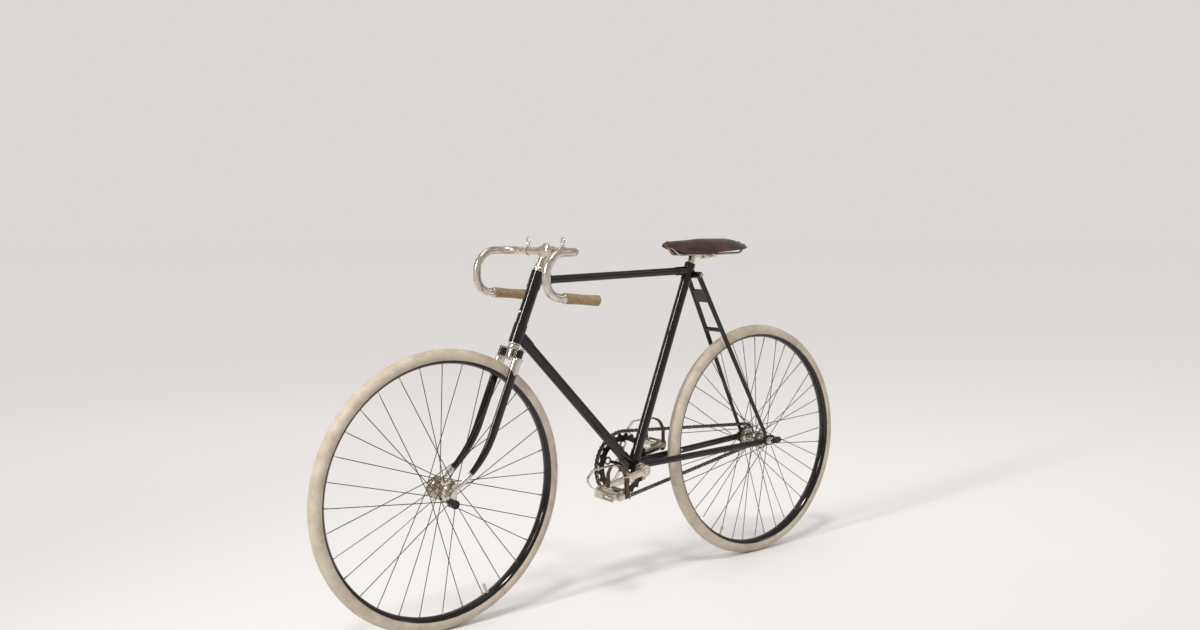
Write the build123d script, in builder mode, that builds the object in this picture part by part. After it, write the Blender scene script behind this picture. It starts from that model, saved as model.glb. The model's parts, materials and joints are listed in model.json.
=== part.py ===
"""An 1890s safety bicycle: lugged diamond frame, equal wheels, block chain and fixed wheel.

Millimetres. +X is forward, +Y the rider's left, +Z up. The origin is the middle of the
saddle's top, where the rider's weight comes on. Places on the bicycle are worked out
from the rear axle, which stands rear_axle_x behind and rear_axle_z below the origin.
"""
import os
from math import acos, atan2, cos, degrees, hypot, pi, radians, sin, sqrt, tan
from build123d import *

os.makedirs("parts", exist_ok=True)

# Driving dimensions of the whole bicycle
tyre_radius = 355.6
tyre_thickness = 38.0
wheelbase = 1120.0
saddle_height = 985.0
chain_stay_reach = 498.0
bracket_drop = 27.0
head_angle = 68.0
seat_angle = 68.8
fork_offset = 71.0

# Frame tubes
head_tube_size = 33.3
head_tube_bore = 29.3
head_tube_length = 202.0
head_above_crown = 42.0
head_cup = 6.0
top_tube_size = 22.2
top_tube_below_head_top = 25.0
top_tube_below_seat_lug = 20.0
down_tube_size = 28.6
down_tube_above_head_foot = 26.0
seat_tube_size = 28.6
tube_wall = 1.2
lug_wall = 1.8
lug_reach = 34.0
upper_lug_half = 24.5
lower_lug_half = 26.0
seat_lug_length = 50.0
braze_gap = 0.1

# Bottom bracket and rear triangle
bracket_size = 44.0
bracket_wall = 4.0
bracket_width = 68.0
chain_stay_height = 19.0
chain_stay_width = 13.0
chain_stay_spread = 23.0
seat_stay_size = 16.0
seat_stay_foot_size = 11.0
seat_stay_spread = 25.5
stay_bolt_back = 22.0
stay_bolt_below_seat_lug = 26.0
stay_bolt_size = 8.0
stay_bolt_head = 14.0
stay_eye = 20.0
fork_end_gap = 105.0
fork_end_plate = 5.0

# Wheels
rim_below_tread = 29.6
rim_depth = 9.0
rim_width = 33.0
rim_wall = 2.0
spoke_size = 2.0
front_spokes = 32
rear_spokes = 40
flange_radius = 29.0
flange_plate = 3.0
flange_spread = 58.0
hub_barrel = 34.0
hub_end = 24.0
axle_size = 9.5
running_gap = 0.3

# Chain, chainwheel and cranks
chain_pitch = 25.4
chainwheel_teeth = 24
sprocket_teeth = 9
chain_line = 43.0
block_height = 11.0
block_width = 4.8
side_plate = 1.8
tooth_width = 4.2
tooth_height = 6.0
tooth_foot = 7.0
tooth_tip = 3.2
tooth_gap = 0.4
crank_length = 165.0
crank_rest_angle = -11.0
crank_inner_face = 53.0
crank_thickness = 11.0
crank_boss = 34.0

# Pedals and toe clips
pedal_inner_gap = 9.0
pedal_width = 84.0
pedal_length = 62.0
pedal_plate_height = 24.0
pedal_plate = 2.0
clip_reach = 88.0
clip_height = 78.0
clip_width = 14.0
clip_band = 1.6

# Front fork and handlebar
crown_above_tyre = 21.8
crown_plate_pitch = 26.0
crown_plate = 5.0
crown_length = 104.0
crown_width = 30.0
blade_spread = 80.0
blade_depth = 24.0
blade_width = 17.0
blade_lead = 3.0
blade_straight_length = 192.0
front_fork_gap = 94.0
fork_tip_length = 70.0
steerer_size = 25.4
bar_size = 22.2
bar_above_head = 60.0
bar_half_width = 168.0
bar_reach = 113.0
bar_drop = 112.0
grip_size = 29.0
grip_length = 112.0

# Seat pin and saddle
pin_shank = 25.6
pin_arm = 22.0
pin_arm_drop = 47.0
pin_arm_length = 92.0
pin_arm_ahead = 25.9
pin_exposed = 31.6
saddle_length = 285.0
saddle_width = 176.0
saddle_skirt = 44.0
leather = 4.0

# Places that follow from them: the seat pin's arm and its lean set the bottom bracket under the saddle
head_lean = radians(90 - head_angle)
rear_axle_z = tyre_radius - saddle_height
bracket_z = rear_axle_z - bracket_drop
pin_arm_z = -pin_arm_drop
bracket_x = pin_arm_ahead + (pin_arm_z - bracket_z) / tan(radians(seat_angle))
rear_axle_x = bracket_x - sqrt(chain_stay_reach**2 - bracket_drop**2)
front_axle_x = rear_axle_x + wheelbase
pin_corner_up = (pin_arm_z - bracket_z) / sin(radians(seat_angle))
seat_tube_length = pin_corner_up - pin_exposed
top_tube_on_seat = seat_tube_length - top_tube_below_seat_lug
stay_bolt_up = seat_tube_length - stay_bolt_below_seat_lug
rim_edge_radius = tyre_radius - rim_below_tread
rim_well_radius = rim_edge_radius - rim_depth

# Heights along the steering axis, from hub height
axle_up = -fork_offset * tan(head_lean)
crown_lower_plate = sqrt((tyre_radius + crown_above_tyre)**2 - fork_offset**2) + axle_up
blade_straight_foot = crown_lower_plate - blade_straight_length
head_tube_foot = crown_lower_plate + head_above_crown
head_tube_top = head_tube_foot + head_tube_length
top_tube_on_head = head_tube_top - top_tube_below_head_top
down_tube_on_head = head_tube_foot + down_tube_above_head_foot
bar_height = head_tube_top + bar_above_head

rear_axle_point = Vector(rear_axle_x, 0, rear_axle_z)
front_axle_point = Vector(front_axle_x, 0, rear_axle_z)
bracket_point = Vector(bracket_x, 0, bracket_z)
side = Vector(0, 1, 0)

# The steering axis: local x is forward of it, local z up along it from hub height
steer_foot = front_axle_point - Vector(fork_offset / cos(head_lean), 0, 0)
steering = Plane(
    origin=steer_foot,
    x_dir=(cos(head_lean), 0, sin(head_lean)),
    z_dir=(-sin(head_lean), 0, cos(head_lean)),
)
# The seat tube's axis: local z up along it from the bottom bracket
seat_line = Plane(
    origin=bracket_point,
    x_dir=(sin(radians(seat_angle)), 0, cos(radians(seat_angle))),
    z_dir=(-cos(radians(seat_angle)), 0, sin(radians(seat_angle))),
)


def on_steering(forward, left, up):
    """A point given from the steering axis."""
    return steering.from_local_coords(Vector(forward, left, up))


def on_seat_line(forward, left, up):
    """A point given from the seat tube's axis."""
    return seat_line.from_local_coords(Vector(forward, left, up))


def along(start, end, sideways=side):
    """The plane at start that faces end, its local y as near sideways as it can be."""
    run = (end - start).normalized()
    across = sideways.cross(run).normalized()
    return Plane(origin=start, x_dir=across, z_dir=run)


def rod(start, end, size, bore=0.0, mode=Mode.ADD):
    """A round bar or tube from start to end, in the part being made."""
    with BuildSketch(along(start, end)) as section:
        Circle(size / 2)
        if bore:
            Circle(bore / 2, mode=Mode.SUBTRACT)
    extrude(section.sketch, amount=(end - start).length, mode=mode)


def cross_rod(centre, left_from, left_to, size, bore=0.0, mode=Mode.ADD):
    """A round bar or tube along Y through a point."""
    start = Vector(centre.X, left_from, centre.Z)
    end = Vector(centre.X, left_to, centre.Z)
    with BuildSketch(along(start, end, Vector(0, 0, 1))) as section:
        Circle(size / 2)
        if bore:
            Circle(bore / 2, mode=Mode.SUBTRACT)
    extrude(section.sketch, amount=(end - start).length, mode=mode)


def taper(start, end, start_size, end_size, mode=Mode.ADD):
    """A round bar that tapers from start to end."""
    with Locations(Location(along(start, end))):
        Cone(start_size / 2, end_size / 2, (end - start).length,
             align=(Align.CENTER, Align.CENTER, Align.MIN), mode=mode)


def finish(made, name):
    """Label a finished piece and write its file."""
    made.part.label = name
    export_step(made.part, f"parts/{name}.step")


top_tube_head_end = on_steering(0, 0, top_tube_on_head)
top_tube_seat_end = on_seat_line(0, 0, top_tube_on_seat)
down_tube_head_end = on_steering(0, 0, down_tube_on_head)
seat_tube_top = on_seat_line(0, 0, seat_tube_length)
head_foot = on_steering(0, 0, head_tube_foot)
head_top = on_steering(0, 0, head_tube_top)
stay_bolt = on_seat_line(-stay_bolt_back, 0, stay_bolt_up)

# Head tube
with BuildPart() as head_tube:
    rod(head_foot, head_top, head_tube_size, head_tube_bore)
finish(head_tube, "head_tube")

# Top tube, mitred to the head tube and the seat tube
with BuildPart() as top_tube:
    rod(top_tube_seat_end, top_tube_head_end, top_tube_size, top_tube_size - 2 * tube_wall)
    rod(head_foot, head_top + (head_top - head_foot), head_tube_size + 2 * braze_gap, mode=Mode.SUBTRACT)
    rod(bracket_point, seat_tube_top + (seat_tube_top - bracket_point) * 0.1,
        seat_tube_size + 2 * braze_gap, mode=Mode.SUBTRACT)
finish(top_tube, "top_tube")


def bracket_cut():
    """Room for the bracket shell in a tube that meets it."""
    cross_rod(bracket_point, -bracket_width, bracket_width, bracket_size + 2 * braze_gap, mode=Mode.SUBTRACT)


# Down tube, mitred to the head tube and the bracket shell
with BuildPart() as down_tube:
    rod(bracket_point, down_tube_head_end, down_tube_size, down_tube_size - 2 * tube_wall)
    rod(head_foot - (head_top - head_foot), head_top, head_tube_size + 2 * braze_gap, mode=Mode.SUBTRACT)
    bracket_cut()
    rod(bracket_point, seat_tube_top, seat_tube_size + 2 * braze_gap, mode=Mode.SUBTRACT)
finish(down_tube, "down_tube")

# Seat tube
with BuildPart() as seat_tube:
    rod(bracket_point, seat_tube_top, seat_tube_size, seat_tube_size - 2 * tube_wall)
    bracket_cut()
finish(seat_tube, "seat_tube")


def head_lug(middle, tube_end, tube_far, tube_size, half):
    """A sleeve round the head tube with a socket for a frame tube."""
    socket_end = tube_end + (tube_far - tube_end).normalized() * (head_tube_size / 2 + lug_reach)
    rod(tube_end, socket_end, tube_size + 2 * lug_wall)
    rod(on_steering(0, 0, middle - half), on_steering(0, 0, middle + half), head_tube_size + 2 * lug_wall)
    rod(on_steering(0, 0, middle - 3 * half), on_steering(0, 0, middle + 3 * half),
        head_tube_size + 2 * braze_gap, mode=Mode.SUBTRACT)
    rod(tube_end, tube_far, tube_size + 2 * braze_gap, mode=Mode.SUBTRACT)


with BuildPart() as upper_head_lug:
    head_lug(top_tube_on_head, top_tube_head_end, top_tube_seat_end, top_tube_size, upper_lug_half)
finish(upper_head_lug, "upper_head_lug")

with BuildPart() as lower_head_lug:
    head_lug(down_tube_on_head, down_tube_head_end, bracket_point, down_tube_size, lower_lug_half)
finish(lower_head_lug, "lower_head_lug")


def side_plane(centre, left):
    """A plane square to Y through a point's X and Z, its local y up."""
    return Plane(origin=(centre.X, left, centre.Z), x_dir=(1, 0, 0), z_dir=(0, -1, 0))


def toward(start, end, distance):
    """The point at a distance from start on the way to end."""
    return start + (end - start).normalized() * distance


# Rear fork ends: a plate with a pad, a rearward slot and a tongue for each stay
fork_end_middle = (fork_end_gap + fork_end_plate) / 2
stay_end_solid = 26.0
fork_end_pad = 30.0
fork_end_slot_back = 18.0
stay_tongue_reach = 16.0
chain_stay_foot = Vector(rear_axle_x + 24, fork_end_middle, rear_axle_z - 3)
chain_stay_head = Vector(bracket_x - bracket_size / 2 + 8, chain_stay_spread, bracket_z + 8)
seat_stay_foot = Vector(rear_axle_x + 11, fork_end_middle, rear_axle_z + 27)
seat_stay_head = Vector(stay_bolt.X, seat_stay_spread, stay_bolt.Z)
seat_ear_half = 16.0
seat_stay_eye_face = seat_stay_spread + 8.5


def handed(point, hand):
    """The point on the left side, or its mirror on the right."""
    return Vector(point.X, point.Y * hand, point.Z)


def fork_end_solid(hand, gap=0.0, mode=Mode.ADD):
    """The plate of one rear fork end, or the room for it in a stay."""
    plane = side_plane(rear_axle_point, hand * fork_end_middle)
    with BuildSketch(plane) as outline:
        with Locations((-fork_end_slot_back / 2, 0)):
            SlotCenterToCenter(fork_end_slot_back, fork_end_pad + 2 * gap)
        for stay_foot, tongue in ((chain_stay_foot, 13), (seat_stay_foot, 9)):
            run_x = stay_foot.X - rear_axle_x
            run_z = stay_foot.Z - rear_axle_z
            run = hypot(run_x, run_z)
            turn = degrees(atan2(run_z, run_x))
            length = run + stay_tongue_reach
            with Locations(Location((run_x / run * length / 2, run_z / run * length / 2), turn)):
                Rectangle(length + 2 * gap, tongue + 2 * gap)
        if not gap:
            with Locations((-fork_end_pad, 0)):
                Rectangle(2 * fork_end_pad, axle_size + 2 * running_gap, mode=Mode.SUBTRACT)
            Circle(axle_size / 2 + running_gap, mode=Mode.SUBTRACT)
    extrude(outline.sketch, amount=fork_end_plate / 2 + gap, both=True, mode=mode)


def chain_stay_solid(hand, growth=0.0, mode=Mode.ADD):
    """The oval of one chain stay, grown for its socket or for the room in it."""
    start = handed(chain_stay_head, hand)
    end = handed(chain_stay_foot, hand)
    with BuildSketch(along(start, end)) as section:
        Ellipse(chain_stay_height / 2 + growth, chain_stay_width / 2 + growth)
    extrude(section.sketch, amount=(end - start).length, mode=mode)


with BuildPart() as rear_fork_ends:
    for hand in (1, -1):
        fork_end_solid(hand)
finish(rear_fork_ends, "rear_fork_ends")

for hand, label in ((1, "left"), (-1, "right")):
    with BuildPart() as chain_stay:
        chain_stay_solid(hand)
        start = handed(chain_stay_head, hand)
        end = handed(chain_stay_foot, hand)
        with BuildSketch(along(start, end)) as bore:
            Ellipse(chain_stay_height / 2 - tube_wall, chain_stay_width / 2 - tube_wall)
        extrude(bore.sketch, amount=(end - start).length - stay_end_solid, mode=Mode.SUBTRACT)
        fork_end_solid(hand, braze_gap, mode=Mode.SUBTRACT)
        bracket_cut()
        rod(bracket_point, seat_tube_top, seat_tube_size + 2 * braze_gap, mode=Mode.SUBTRACT)
    finish(chain_stay, f"{label}_chain_stay")

with BuildPart() as left_seat_stay:
    taper(seat_stay_head, seat_stay_foot, seat_stay_size, seat_stay_foot_size)
    cross_rod(stay_bolt, seat_ear_half + 0.2, seat_stay_eye_face, stay_eye)
    bore_head = toward(seat_stay_head, seat_stay_foot, stay_eye - 2)
    bore_foot = toward(seat_stay_foot, seat_stay_head, stay_end_solid)
    taper(bore_head, bore_foot, seat_stay_size - 2 * tube_wall, seat_stay_foot_size - 2 * tube_wall,
          mode=Mode.SUBTRACT)
    cross_rod(stay_bolt, -2 * seat_stay_eye_face, 2 * seat_stay_eye_face, stay_bolt_size + 2 * braze_gap,
              mode=Mode.SUBTRACT)
    fork_end_solid(1, braze_gap, mode=Mode.SUBTRACT)
finish(left_seat_stay, "left_seat_stay")

with BuildPart() as right_seat_stay:
    mirror(left_seat_stay.part, about=Plane.XZ)
finish(right_seat_stay, "right_seat_stay")

# Bottom bracket shell with a socket for each tube
bracket_socket = bracket_size / 2 + 28
stay_socket = 24.0
with BuildPart() as bracket_shell:
    rod(bracket_point, toward(bracket_point, seat_tube_top, bracket_socket), seat_tube_size + 2 * lug_wall)
    rod(bracket_point, toward(bracket_point, down_tube_head_end, bracket_socket), down_tube_size + 2 * lug_wall)
    for hand in (1, -1):
        start = handed(chain_stay_head, hand)
        end = toward(start, handed(chain_stay_foot, hand), stay_socket)
        with BuildSketch(along(start, end)) as socket:
            Ellipse(chain_stay_height / 2 + lug_wall, chain_stay_width / 2 + lug_wall)
        extrude(socket.sketch, amount=stay_socket)
    rod(bracket_point, seat_tube_top, seat_tube_size + 2 * braze_gap, mode=Mode.SUBTRACT)
    rod(bracket_point, down_tube_head_end, down_tube_size + 2 * braze_gap, mode=Mode.SUBTRACT)
    for hand in (1, -1):
        chain_stay_solid(hand, braze_gap, mode=Mode.SUBTRACT)
    cross_rod(bracket_point, -bracket_width / 2, bracket_width / 2, bracket_size)
    cross_rod(bracket_point, -bracket_width, bracket_width, bracket_size - 2 * bracket_wall, mode=Mode.SUBTRACT)
finish(bracket_shell, "bracket_shell")

# Bearing cups of the bottom bracket and the head
crank_axle_size = 16.0
bracket_bore = bracket_size - 2 * bracket_wall
cup_depth = 8.0
cup_lip = 4.0
with BuildPart() as bracket_cups:
    for hand in (1, -1):
        inner = hand * (bracket_width / 2 - cup_depth)
        face = hand * bracket_width / 2
        cross_rod(bracket_point, inner, face, bracket_bore - 2 * braze_gap)
        cross_rod(bracket_point, face, face + hand * cup_lip, bracket_size - 4)
    cross_rod(bracket_point, -bracket_width, bracket_width, crank_axle_size + 2 * running_gap, mode=Mode.SUBTRACT)
finish(bracket_cups, "bracket_cups")

with BuildPart() as head_cups:
    for height, lift in ((head_tube_foot, -head_cup), (head_tube_top, head_cup)):
        rod(on_steering(0, 0, height), on_steering(0, 0, height + lift), head_tube_size + 3)
    rod(head_foot - (head_top - head_foot), head_top + (head_top - head_foot),
        steerer_size + 2 * running_gap, mode=Mode.SUBTRACT)
finish(head_cups, "head_cups")

# Seat lug with clamp ears, and the bolt that also holds the stays' eyes
seat_mouth = 26.4
ear_middle_back = stay_bolt_back * 0.45
slit_width = 2.0
with BuildPart() as seat_lug:
    rod(on_seat_line(0, 0, seat_tube_length - seat_lug_length), on_seat_line(0, 0, seat_tube_length + 2),
        seat_tube_size + 2 * lug_wall)
    rod(top_tube_seat_end, toward(top_tube_seat_end, top_tube_head_end, seat_tube_size / 2 + lug_reach),
        top_tube_size + 2 * lug_wall)
    cross_rod(stay_bolt, -seat_ear_half, seat_ear_half, stay_eye)
    with BuildSketch(side_plane(stay_bolt, 0)) as ears:
        with Locations(Location((ear_middle_back, 2), seat_angle - 90)):
            Rectangle(stay_bolt_back, stay_eye - 1)
    extrude(ears.sketch, amount=seat_ear_half - 5, both=True)
    rod(on_seat_line(0, 0, 0), seat_tube_top, seat_tube_size + 2 * braze_gap, mode=Mode.SUBTRACT)
    rod(on_seat_line(0, 0, seat_tube_length), on_seat_line(0, 0, seat_tube_length + 20), seat_mouth,
        mode=Mode.SUBTRACT)
    rod(top_tube_seat_end, top_tube_head_end, top_tube_size + 2 * braze_gap, mode=Mode.SUBTRACT)
    cross_rod(stay_bolt, -2 * seat_stay_eye_face, 2 * seat_stay_eye_face, stay_bolt_size + 2 * braze_gap,
              mode=Mode.SUBTRACT)
    with BuildSketch(seat_line.offset(seat_tube_length - seat_lug_length - 1)) as slit:
        with Locations((-stay_bolt_back - slit_width, 0)):
            Rectangle(26, slit_width)
    extrude(slit.sketch, amount=seat_lug_length + 10, mode=Mode.SUBTRACT)
finish(seat_lug, "seat_lug")

with BuildPart() as seat_bolt:
    cross_rod(stay_bolt, -seat_stay_eye_face - 0.5, seat_stay_eye_face + 0.5, stay_bolt_size)
    for hand in (1, -1):
        head_face = seat_stay_eye_face + braze_gap
        cross_rod(stay_bolt, hand * head_face, hand * (head_face + 3.4), stay_bolt_head)
finish(seat_bolt, "seat_bolt")

# Bridges between the stays, the lower one a set height above the tyre
stay_run = seat_stay_foot - seat_stay_head


def on_seat_stays(drop):
    """The middle point between the seat stays, this far below the bolt along them."""
    share = drop / stay_run.length
    point = seat_stay_head + stay_run * share
    return Vector(point.X, 0, point.Z)


def seat_stay_cut(hand):
    """Room for one seat stay."""
    taper(handed(seat_stay_head, hand), handed(seat_stay_foot, hand), seat_stay_size + 2 * braze_gap,
          seat_stay_foot_size + 2 * braze_gap, mode=Mode.SUBTRACT)


low_bridge_above_tyre = 37.2573
bridge_top_drop = 52.0
bridge_height = 40.0
foot_from_axle = Vector(seat_stay_foot.X - rear_axle_x, 0, seat_stay_foot.Z - rear_axle_z)
stay_rise = Vector(-stay_run.X, 0, -stay_run.Z) / stay_run.length
stay_lead = foot_from_axle.dot(stay_rise) / stay_rise.dot(stay_rise)
low_bridge_reach = sqrt(((tyre_radius + low_bridge_above_tyre)**2 - foot_from_axle.dot(foot_from_axle))
                        / stay_rise.dot(stay_rise) + stay_lead**2) - stay_lead
low_bridge_drop = stay_run.length - low_bridge_reach
bridge_top = on_seat_stays(bridge_top_drop)
bridge_foot = on_seat_stays(bridge_top_drop + bridge_height)
with BuildPart() as upper_stay_bridge:
    with BuildSketch(along(bridge_top, bridge_foot)) as plate:
        Rectangle(9, 2 * seat_stay_spread + 8)
    extrude(plate.sketch, amount=(bridge_foot - bridge_top).length)
    for hand in (1, -1):
        seat_stay_cut(hand)
finish(upper_stay_bridge, "upper_stay_bridge")

low_bridge = on_seat_stays(low_bridge_drop)
low_bridge_end = seat_stay_spread + (fork_end_middle - seat_stay_spread) * low_bridge_drop / stay_run.length
with BuildPart() as lower_stay_bridge:
    cross_rod(low_bridge, -low_bridge_end, low_bridge_end, 13)
    for hand in (1, -1):
        seat_stay_cut(hand)
finish(lower_stay_bridge, "lower_stay_bridge")


# Rear axle with its cones, washers and nuts, and the adjusters that pull it back
adjuster_eye = 5.0
rear_nut_face = fork_end_gap / 2 + fork_end_plate + adjuster_eye + 0.4
rear_axle_end = rear_nut_face + 14
rear_hub_half = fork_end_gap / 2 - 5.5
washer = 1.6
with BuildPart() as rear_axle:
    cross_rod(rear_axle_point, -rear_axle_end, rear_axle_end, axle_size)
    for hand in (1, -1):
        cross_rod(rear_axle_point, hand * (rear_hub_half + 0.5), hand * (fork_end_gap / 2 - braze_gap), 17)
        cross_rod(rear_axle_point, hand * rear_nut_face, hand * (rear_nut_face + washer), 21)
        with BuildSketch(side_plane(rear_axle_point, hand * (rear_nut_face + washer + 4))) as nut:
            RegularPolygon(9.5, 6)
        extrude(nut.sketch, amount=4, both=True)
finish(rear_axle, "rear_axle")

with BuildPart() as chain_adjusters:
    for hand in (1, -1):
        inner = hand * (rear_nut_face - adjuster_eye - 0.2)
        outer = hand * (rear_nut_face - 0.2)
        cross_rod(rear_axle_point, inner, outer, 20)
        start = Vector(rear_axle_x - 9, (inner + outer) / 2, rear_axle_z)
        rod(start, start - Vector(34, 0, 0), 4.6)
        rod(start - Vector(24.5, 0, 0), start - Vector(28, 0, 0), 12)
        cross_rod(rear_axle_point, inner - hand, outer + hand, axle_size + 2 * running_gap, mode=Mode.SUBTRACT)
finish(chain_adjusters, "chain_adjusters")

# The mounting step on the left end of the rear axle
step_neck = 11.0
step_barrel = 18.0
step_root = Vector(rear_axle_x, rear_axle_end + 0.2, rear_axle_z)
step_end = step_root + Vector(6, 36, 13)
with BuildPart() as mounting_step:
    rod(step_root, toward(step_root, step_end, 14), step_neck)
    rod(toward(step_root, step_end, 10), step_end, step_barrel)
    cross_rod(step_root, step_root.Y - 10, step_root.Y, 2 * step_barrel, mode=Mode.SUBTRACT)
finish(mounting_step, "mounting_step")

# Block chain: one loop round both sprockets, laid out at even steps of its length
chainwheel_pitch_radius = chain_pitch / (2 * sin(pi / chainwheel_teeth))
sprocket_pitch_radius = chain_pitch / (2 * sin(pi / sprocket_teeth))
centres = bracket_point - rear_axle_point
centres_angle = atan2(centres.Z, centres.X)
wrap_half = acos((chainwheel_pitch_radius - sprocket_pitch_radius) / centres.length)
chain_top = centres_angle + pi - wrap_half
chain_foot = centres_angle - pi + wrap_half
straight_run = centres.length * sin(wrap_half)
sprocket_arc = sprocket_pitch_radius * 2 * wrap_half
wheel_arc = chainwheel_pitch_radius * 2 * (pi - wrap_half)
chain_loop = 2 * straight_run + sprocket_arc + wheel_arc
chain_blocks = round(chain_loop / chain_pitch)


def on_circle(centre, radius, turn):
    """A point of a circle that faces along Y."""
    return centre + Vector(radius * cos(turn), 0, radius * sin(turn))


def chain_place(distance):
    """A point this far along the chain from the chainwheel's top, and which way it faces out."""
    sprocket = Vector(0, 0, 0)
    if distance < straight_run:
        start = on_circle(centres, chainwheel_pitch_radius, chain_top)
        end = on_circle(sprocket, sprocket_pitch_radius, chain_top)
        return start + (end - start) * (distance / straight_run), chain_top
    distance -= straight_run
    if distance < sprocket_arc:
        turn = chain_top + distance / sprocket_pitch_radius
        return on_circle(sprocket, sprocket_pitch_radius, turn), turn
    distance -= sprocket_arc
    if distance < straight_run:
        start = on_circle(sprocket, sprocket_pitch_radius, chain_foot)
        end = on_circle(centres, chainwheel_pitch_radius, chain_foot)
        return start + (end - start) * (distance / straight_run), chain_foot
    turn = chain_foot + (distance - straight_run) / chainwheel_pitch_radius
    return on_circle(centres, chainwheel_pitch_radius, turn), turn


def chain_layer(inner, outer, length, phase):
    """One layer of like links along the whole loop, between two distances from the middle plane."""
    middle = (inner + outer) / 2
    half = length / 2
    rise = block_height / 2
    nose = rise * 0.45
    with BuildSketch(side_plane(rear_axle_point, -middle)) as links:
        for number in range(chain_blocks):
            place, turn = chain_place((number + phase) / chain_blocks * chain_loop)
            with Locations(Location((place.X, place.Z), degrees(turn) + 90)):
                Polygon(
                    (half, nose), (half - rise + nose, rise), (-half + rise - nose, rise), (-half, nose),
                    (-half, -nose), (-half + rise - nose, -rise), (half - rise + nose, -rise), (half, -nose),
                )
    extrude(links.sketch, amount=(outer - inner) / 2, both=True)


block_length = 17.0
plate_length = 22.0
with BuildPart() as chain:
    chain_layer(chain_line - block_width / 2, chain_line + block_width / 2, block_length, 0)
    for inner in (chain_line - block_width / 2 - side_plate, chain_line + block_width / 2):
        chain_layer(inner, inner + side_plate, plate_length, 0.5)
finish(chain, "chain")

# Seat pin: a straight shank in the seat tube and an arm that runs back under the saddle
pin_depth = 70.0
pin_shoulder = 4.0
pin_bend = 12.0
pin_corner = on_seat_line(0, 0, pin_corner_up)
pin_arm_end = pin_corner - Vector(pin_arm_length, 0, 0)
with BuildPart() as seat_pin:
    shoulder = on_seat_line(0, 0, seat_tube_length + pin_shoulder)
    rod(on_seat_line(0, 0, seat_tube_length - pin_depth), toward(shoulder, pin_corner, 1), pin_shank)
    with BuildLine() as pin_path:
        FilletPolyline(shoulder, pin_corner, pin_arm_end, radius=pin_bend)
    with BuildSketch(along(shoulder, pin_corner)) as pin_section:
        Circle(pin_arm / 2)
    sweep(pin_section.sketch, path=pin_path.wire())
finish(seat_pin, "seat_pin")

# Saddle: clip, wire springs with their end plates, and the leather top
clip_x = -22.0
clip_half = Vector(14, 0, 0)
clip_wall = 4.0
clip_bolt_end = 25.0
spring_wire = 7.0
spring_spread = 16.5
with BuildPart() as saddle_clip:
    clip_centre = Vector(clip_x, 0, pin_arm_z)
    rod(clip_centre - clip_half, clip_centre + clip_half, pin_arm + 2 * clip_wall)
    cross_rod(clip_centre, -clip_bolt_end, clip_bolt_end, 20)
    rod(clip_centre - 3 * clip_half, clip_centre + 3 * clip_half, pin_arm + 2 * braze_gap, mode=Mode.SUBTRACT)
    for hand in (1, -1):
        wire_middle = Vector(clip_x, hand * spring_spread, pin_arm_z)
        rod(wire_middle - 3 * clip_half, wire_middle + 3 * clip_half, spring_wire + 2 * braze_gap,
            mode=Mode.SUBTRACT)
finish(saddle_clip, "saddle_clip")

saddle_sections = (
    # forward, half width, top, skirt depth
    (saddle_length / 2, 15, -9, 14),
    (saddle_length / 2 - 70, 27, -5, 40),
    (0, 46, 0, saddle_skirt),
    (-saddle_length / 2 + 45, saddle_width / 2, 0, 30),
    (-saddle_length / 2, saddle_width / 2 - 16, -8, 15),
)


def arched_shell(outer, inner, mode=Mode.ADD):
    """A saddle-shaped shell between two depths below the leather's top face."""
    sections = []
    for forward, half, top, skirt in saddle_sections:
        plane = Plane(origin=(forward, 0, top), x_dir=(0, 1, 0), z_dir=(1, 0, 0))
        with BuildSketch(plane) as arch:
            with BuildLine():
                ThreePointArc((-half + outer, -skirt), (0, -outer), (half - outer, -skirt))
                Line((half - outer, -skirt), (half - inner, -skirt))
                ThreePointArc((half - inner, -skirt), (0, -inner), (-half + inner, -skirt))
                Line((-half + inner, -skirt), (-half + outer, -skirt))
            make_face()
        sections.append(arch.sketch.face())
    loft(sections, mode=mode)


with BuildPart() as saddle_leather:
    arched_shell(0, leather)
finish(saddle_leather, "saddle_leather")

plate_depth = leather + braze_gap
plate_thickness = 3.0
plate_reach = 20.0
with BuildPart() as saddle_plates:
    arched_shell(plate_depth, plate_depth + plate_thickness)
    with BuildSketch(Plane.XY.offset(-2 * saddle_skirt)) as kept:
        for facing in (1, -1):
            with Locations((facing * (saddle_length / 2 - leather - plate_reach / 2), 0)):
                Rectangle(plate_reach, saddle_width)
    extrude(kept.sketch, amount=3 * saddle_skirt, mode=Mode.INTERSECT)
finish(saddle_plates, "saddle_plates")

spring_end_inset = 14.0
nose_x = saddle_length / 2 - spring_end_inset
tail_x = -saddle_length / 2 + spring_end_inset
spring_route = (
    # forward, left, up
    (nose_x, 5, -23),
    (nose_x - 34, spring_spread, pin_arm_z),
    (clip_x - 32, spring_spread, pin_arm_z),
    (tail_x + 6, 54, pin_arm_z + 4),
    (tail_x, 56, -12),
)
with BuildPart() as saddle_springs:
    for hand in (1, -1):
        route = [Vector(x, hand * y, z) for x, y, z in spring_route]
        with BuildLine() as wire_path:
            FilletPolyline(*route, radius=[20, 24, 12])
        with BuildSketch(along(route[0], route[1])) as wire_section:
            Circle(spring_wire / 2)
        sweep(wire_section.sketch, path=wire_path.wire())
    arched_shell(-8, plate_depth + plate_thickness + braze_gap, mode=Mode.SUBTRACT)
finish(saddle_springs, "saddle_springs")

# Steering: column, crown, blades, tips, axle
crown_top = crown_lower_plate + crown_plate_pitch + crown_plate / 2
crown_foot = crown_lower_plate - crown_plate / 2
collar_height = 8.0
steerer_wall = 2.5
column_top = head_tube_top + head_cup + collar_height
with BuildPart() as steering_column:
    rod(on_steering(0, 0, crown_foot), on_steering(0, 0, column_top), steerer_size,
        steerer_size - 2 * steerer_wall)
finish(steering_column, "steering_column")

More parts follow.
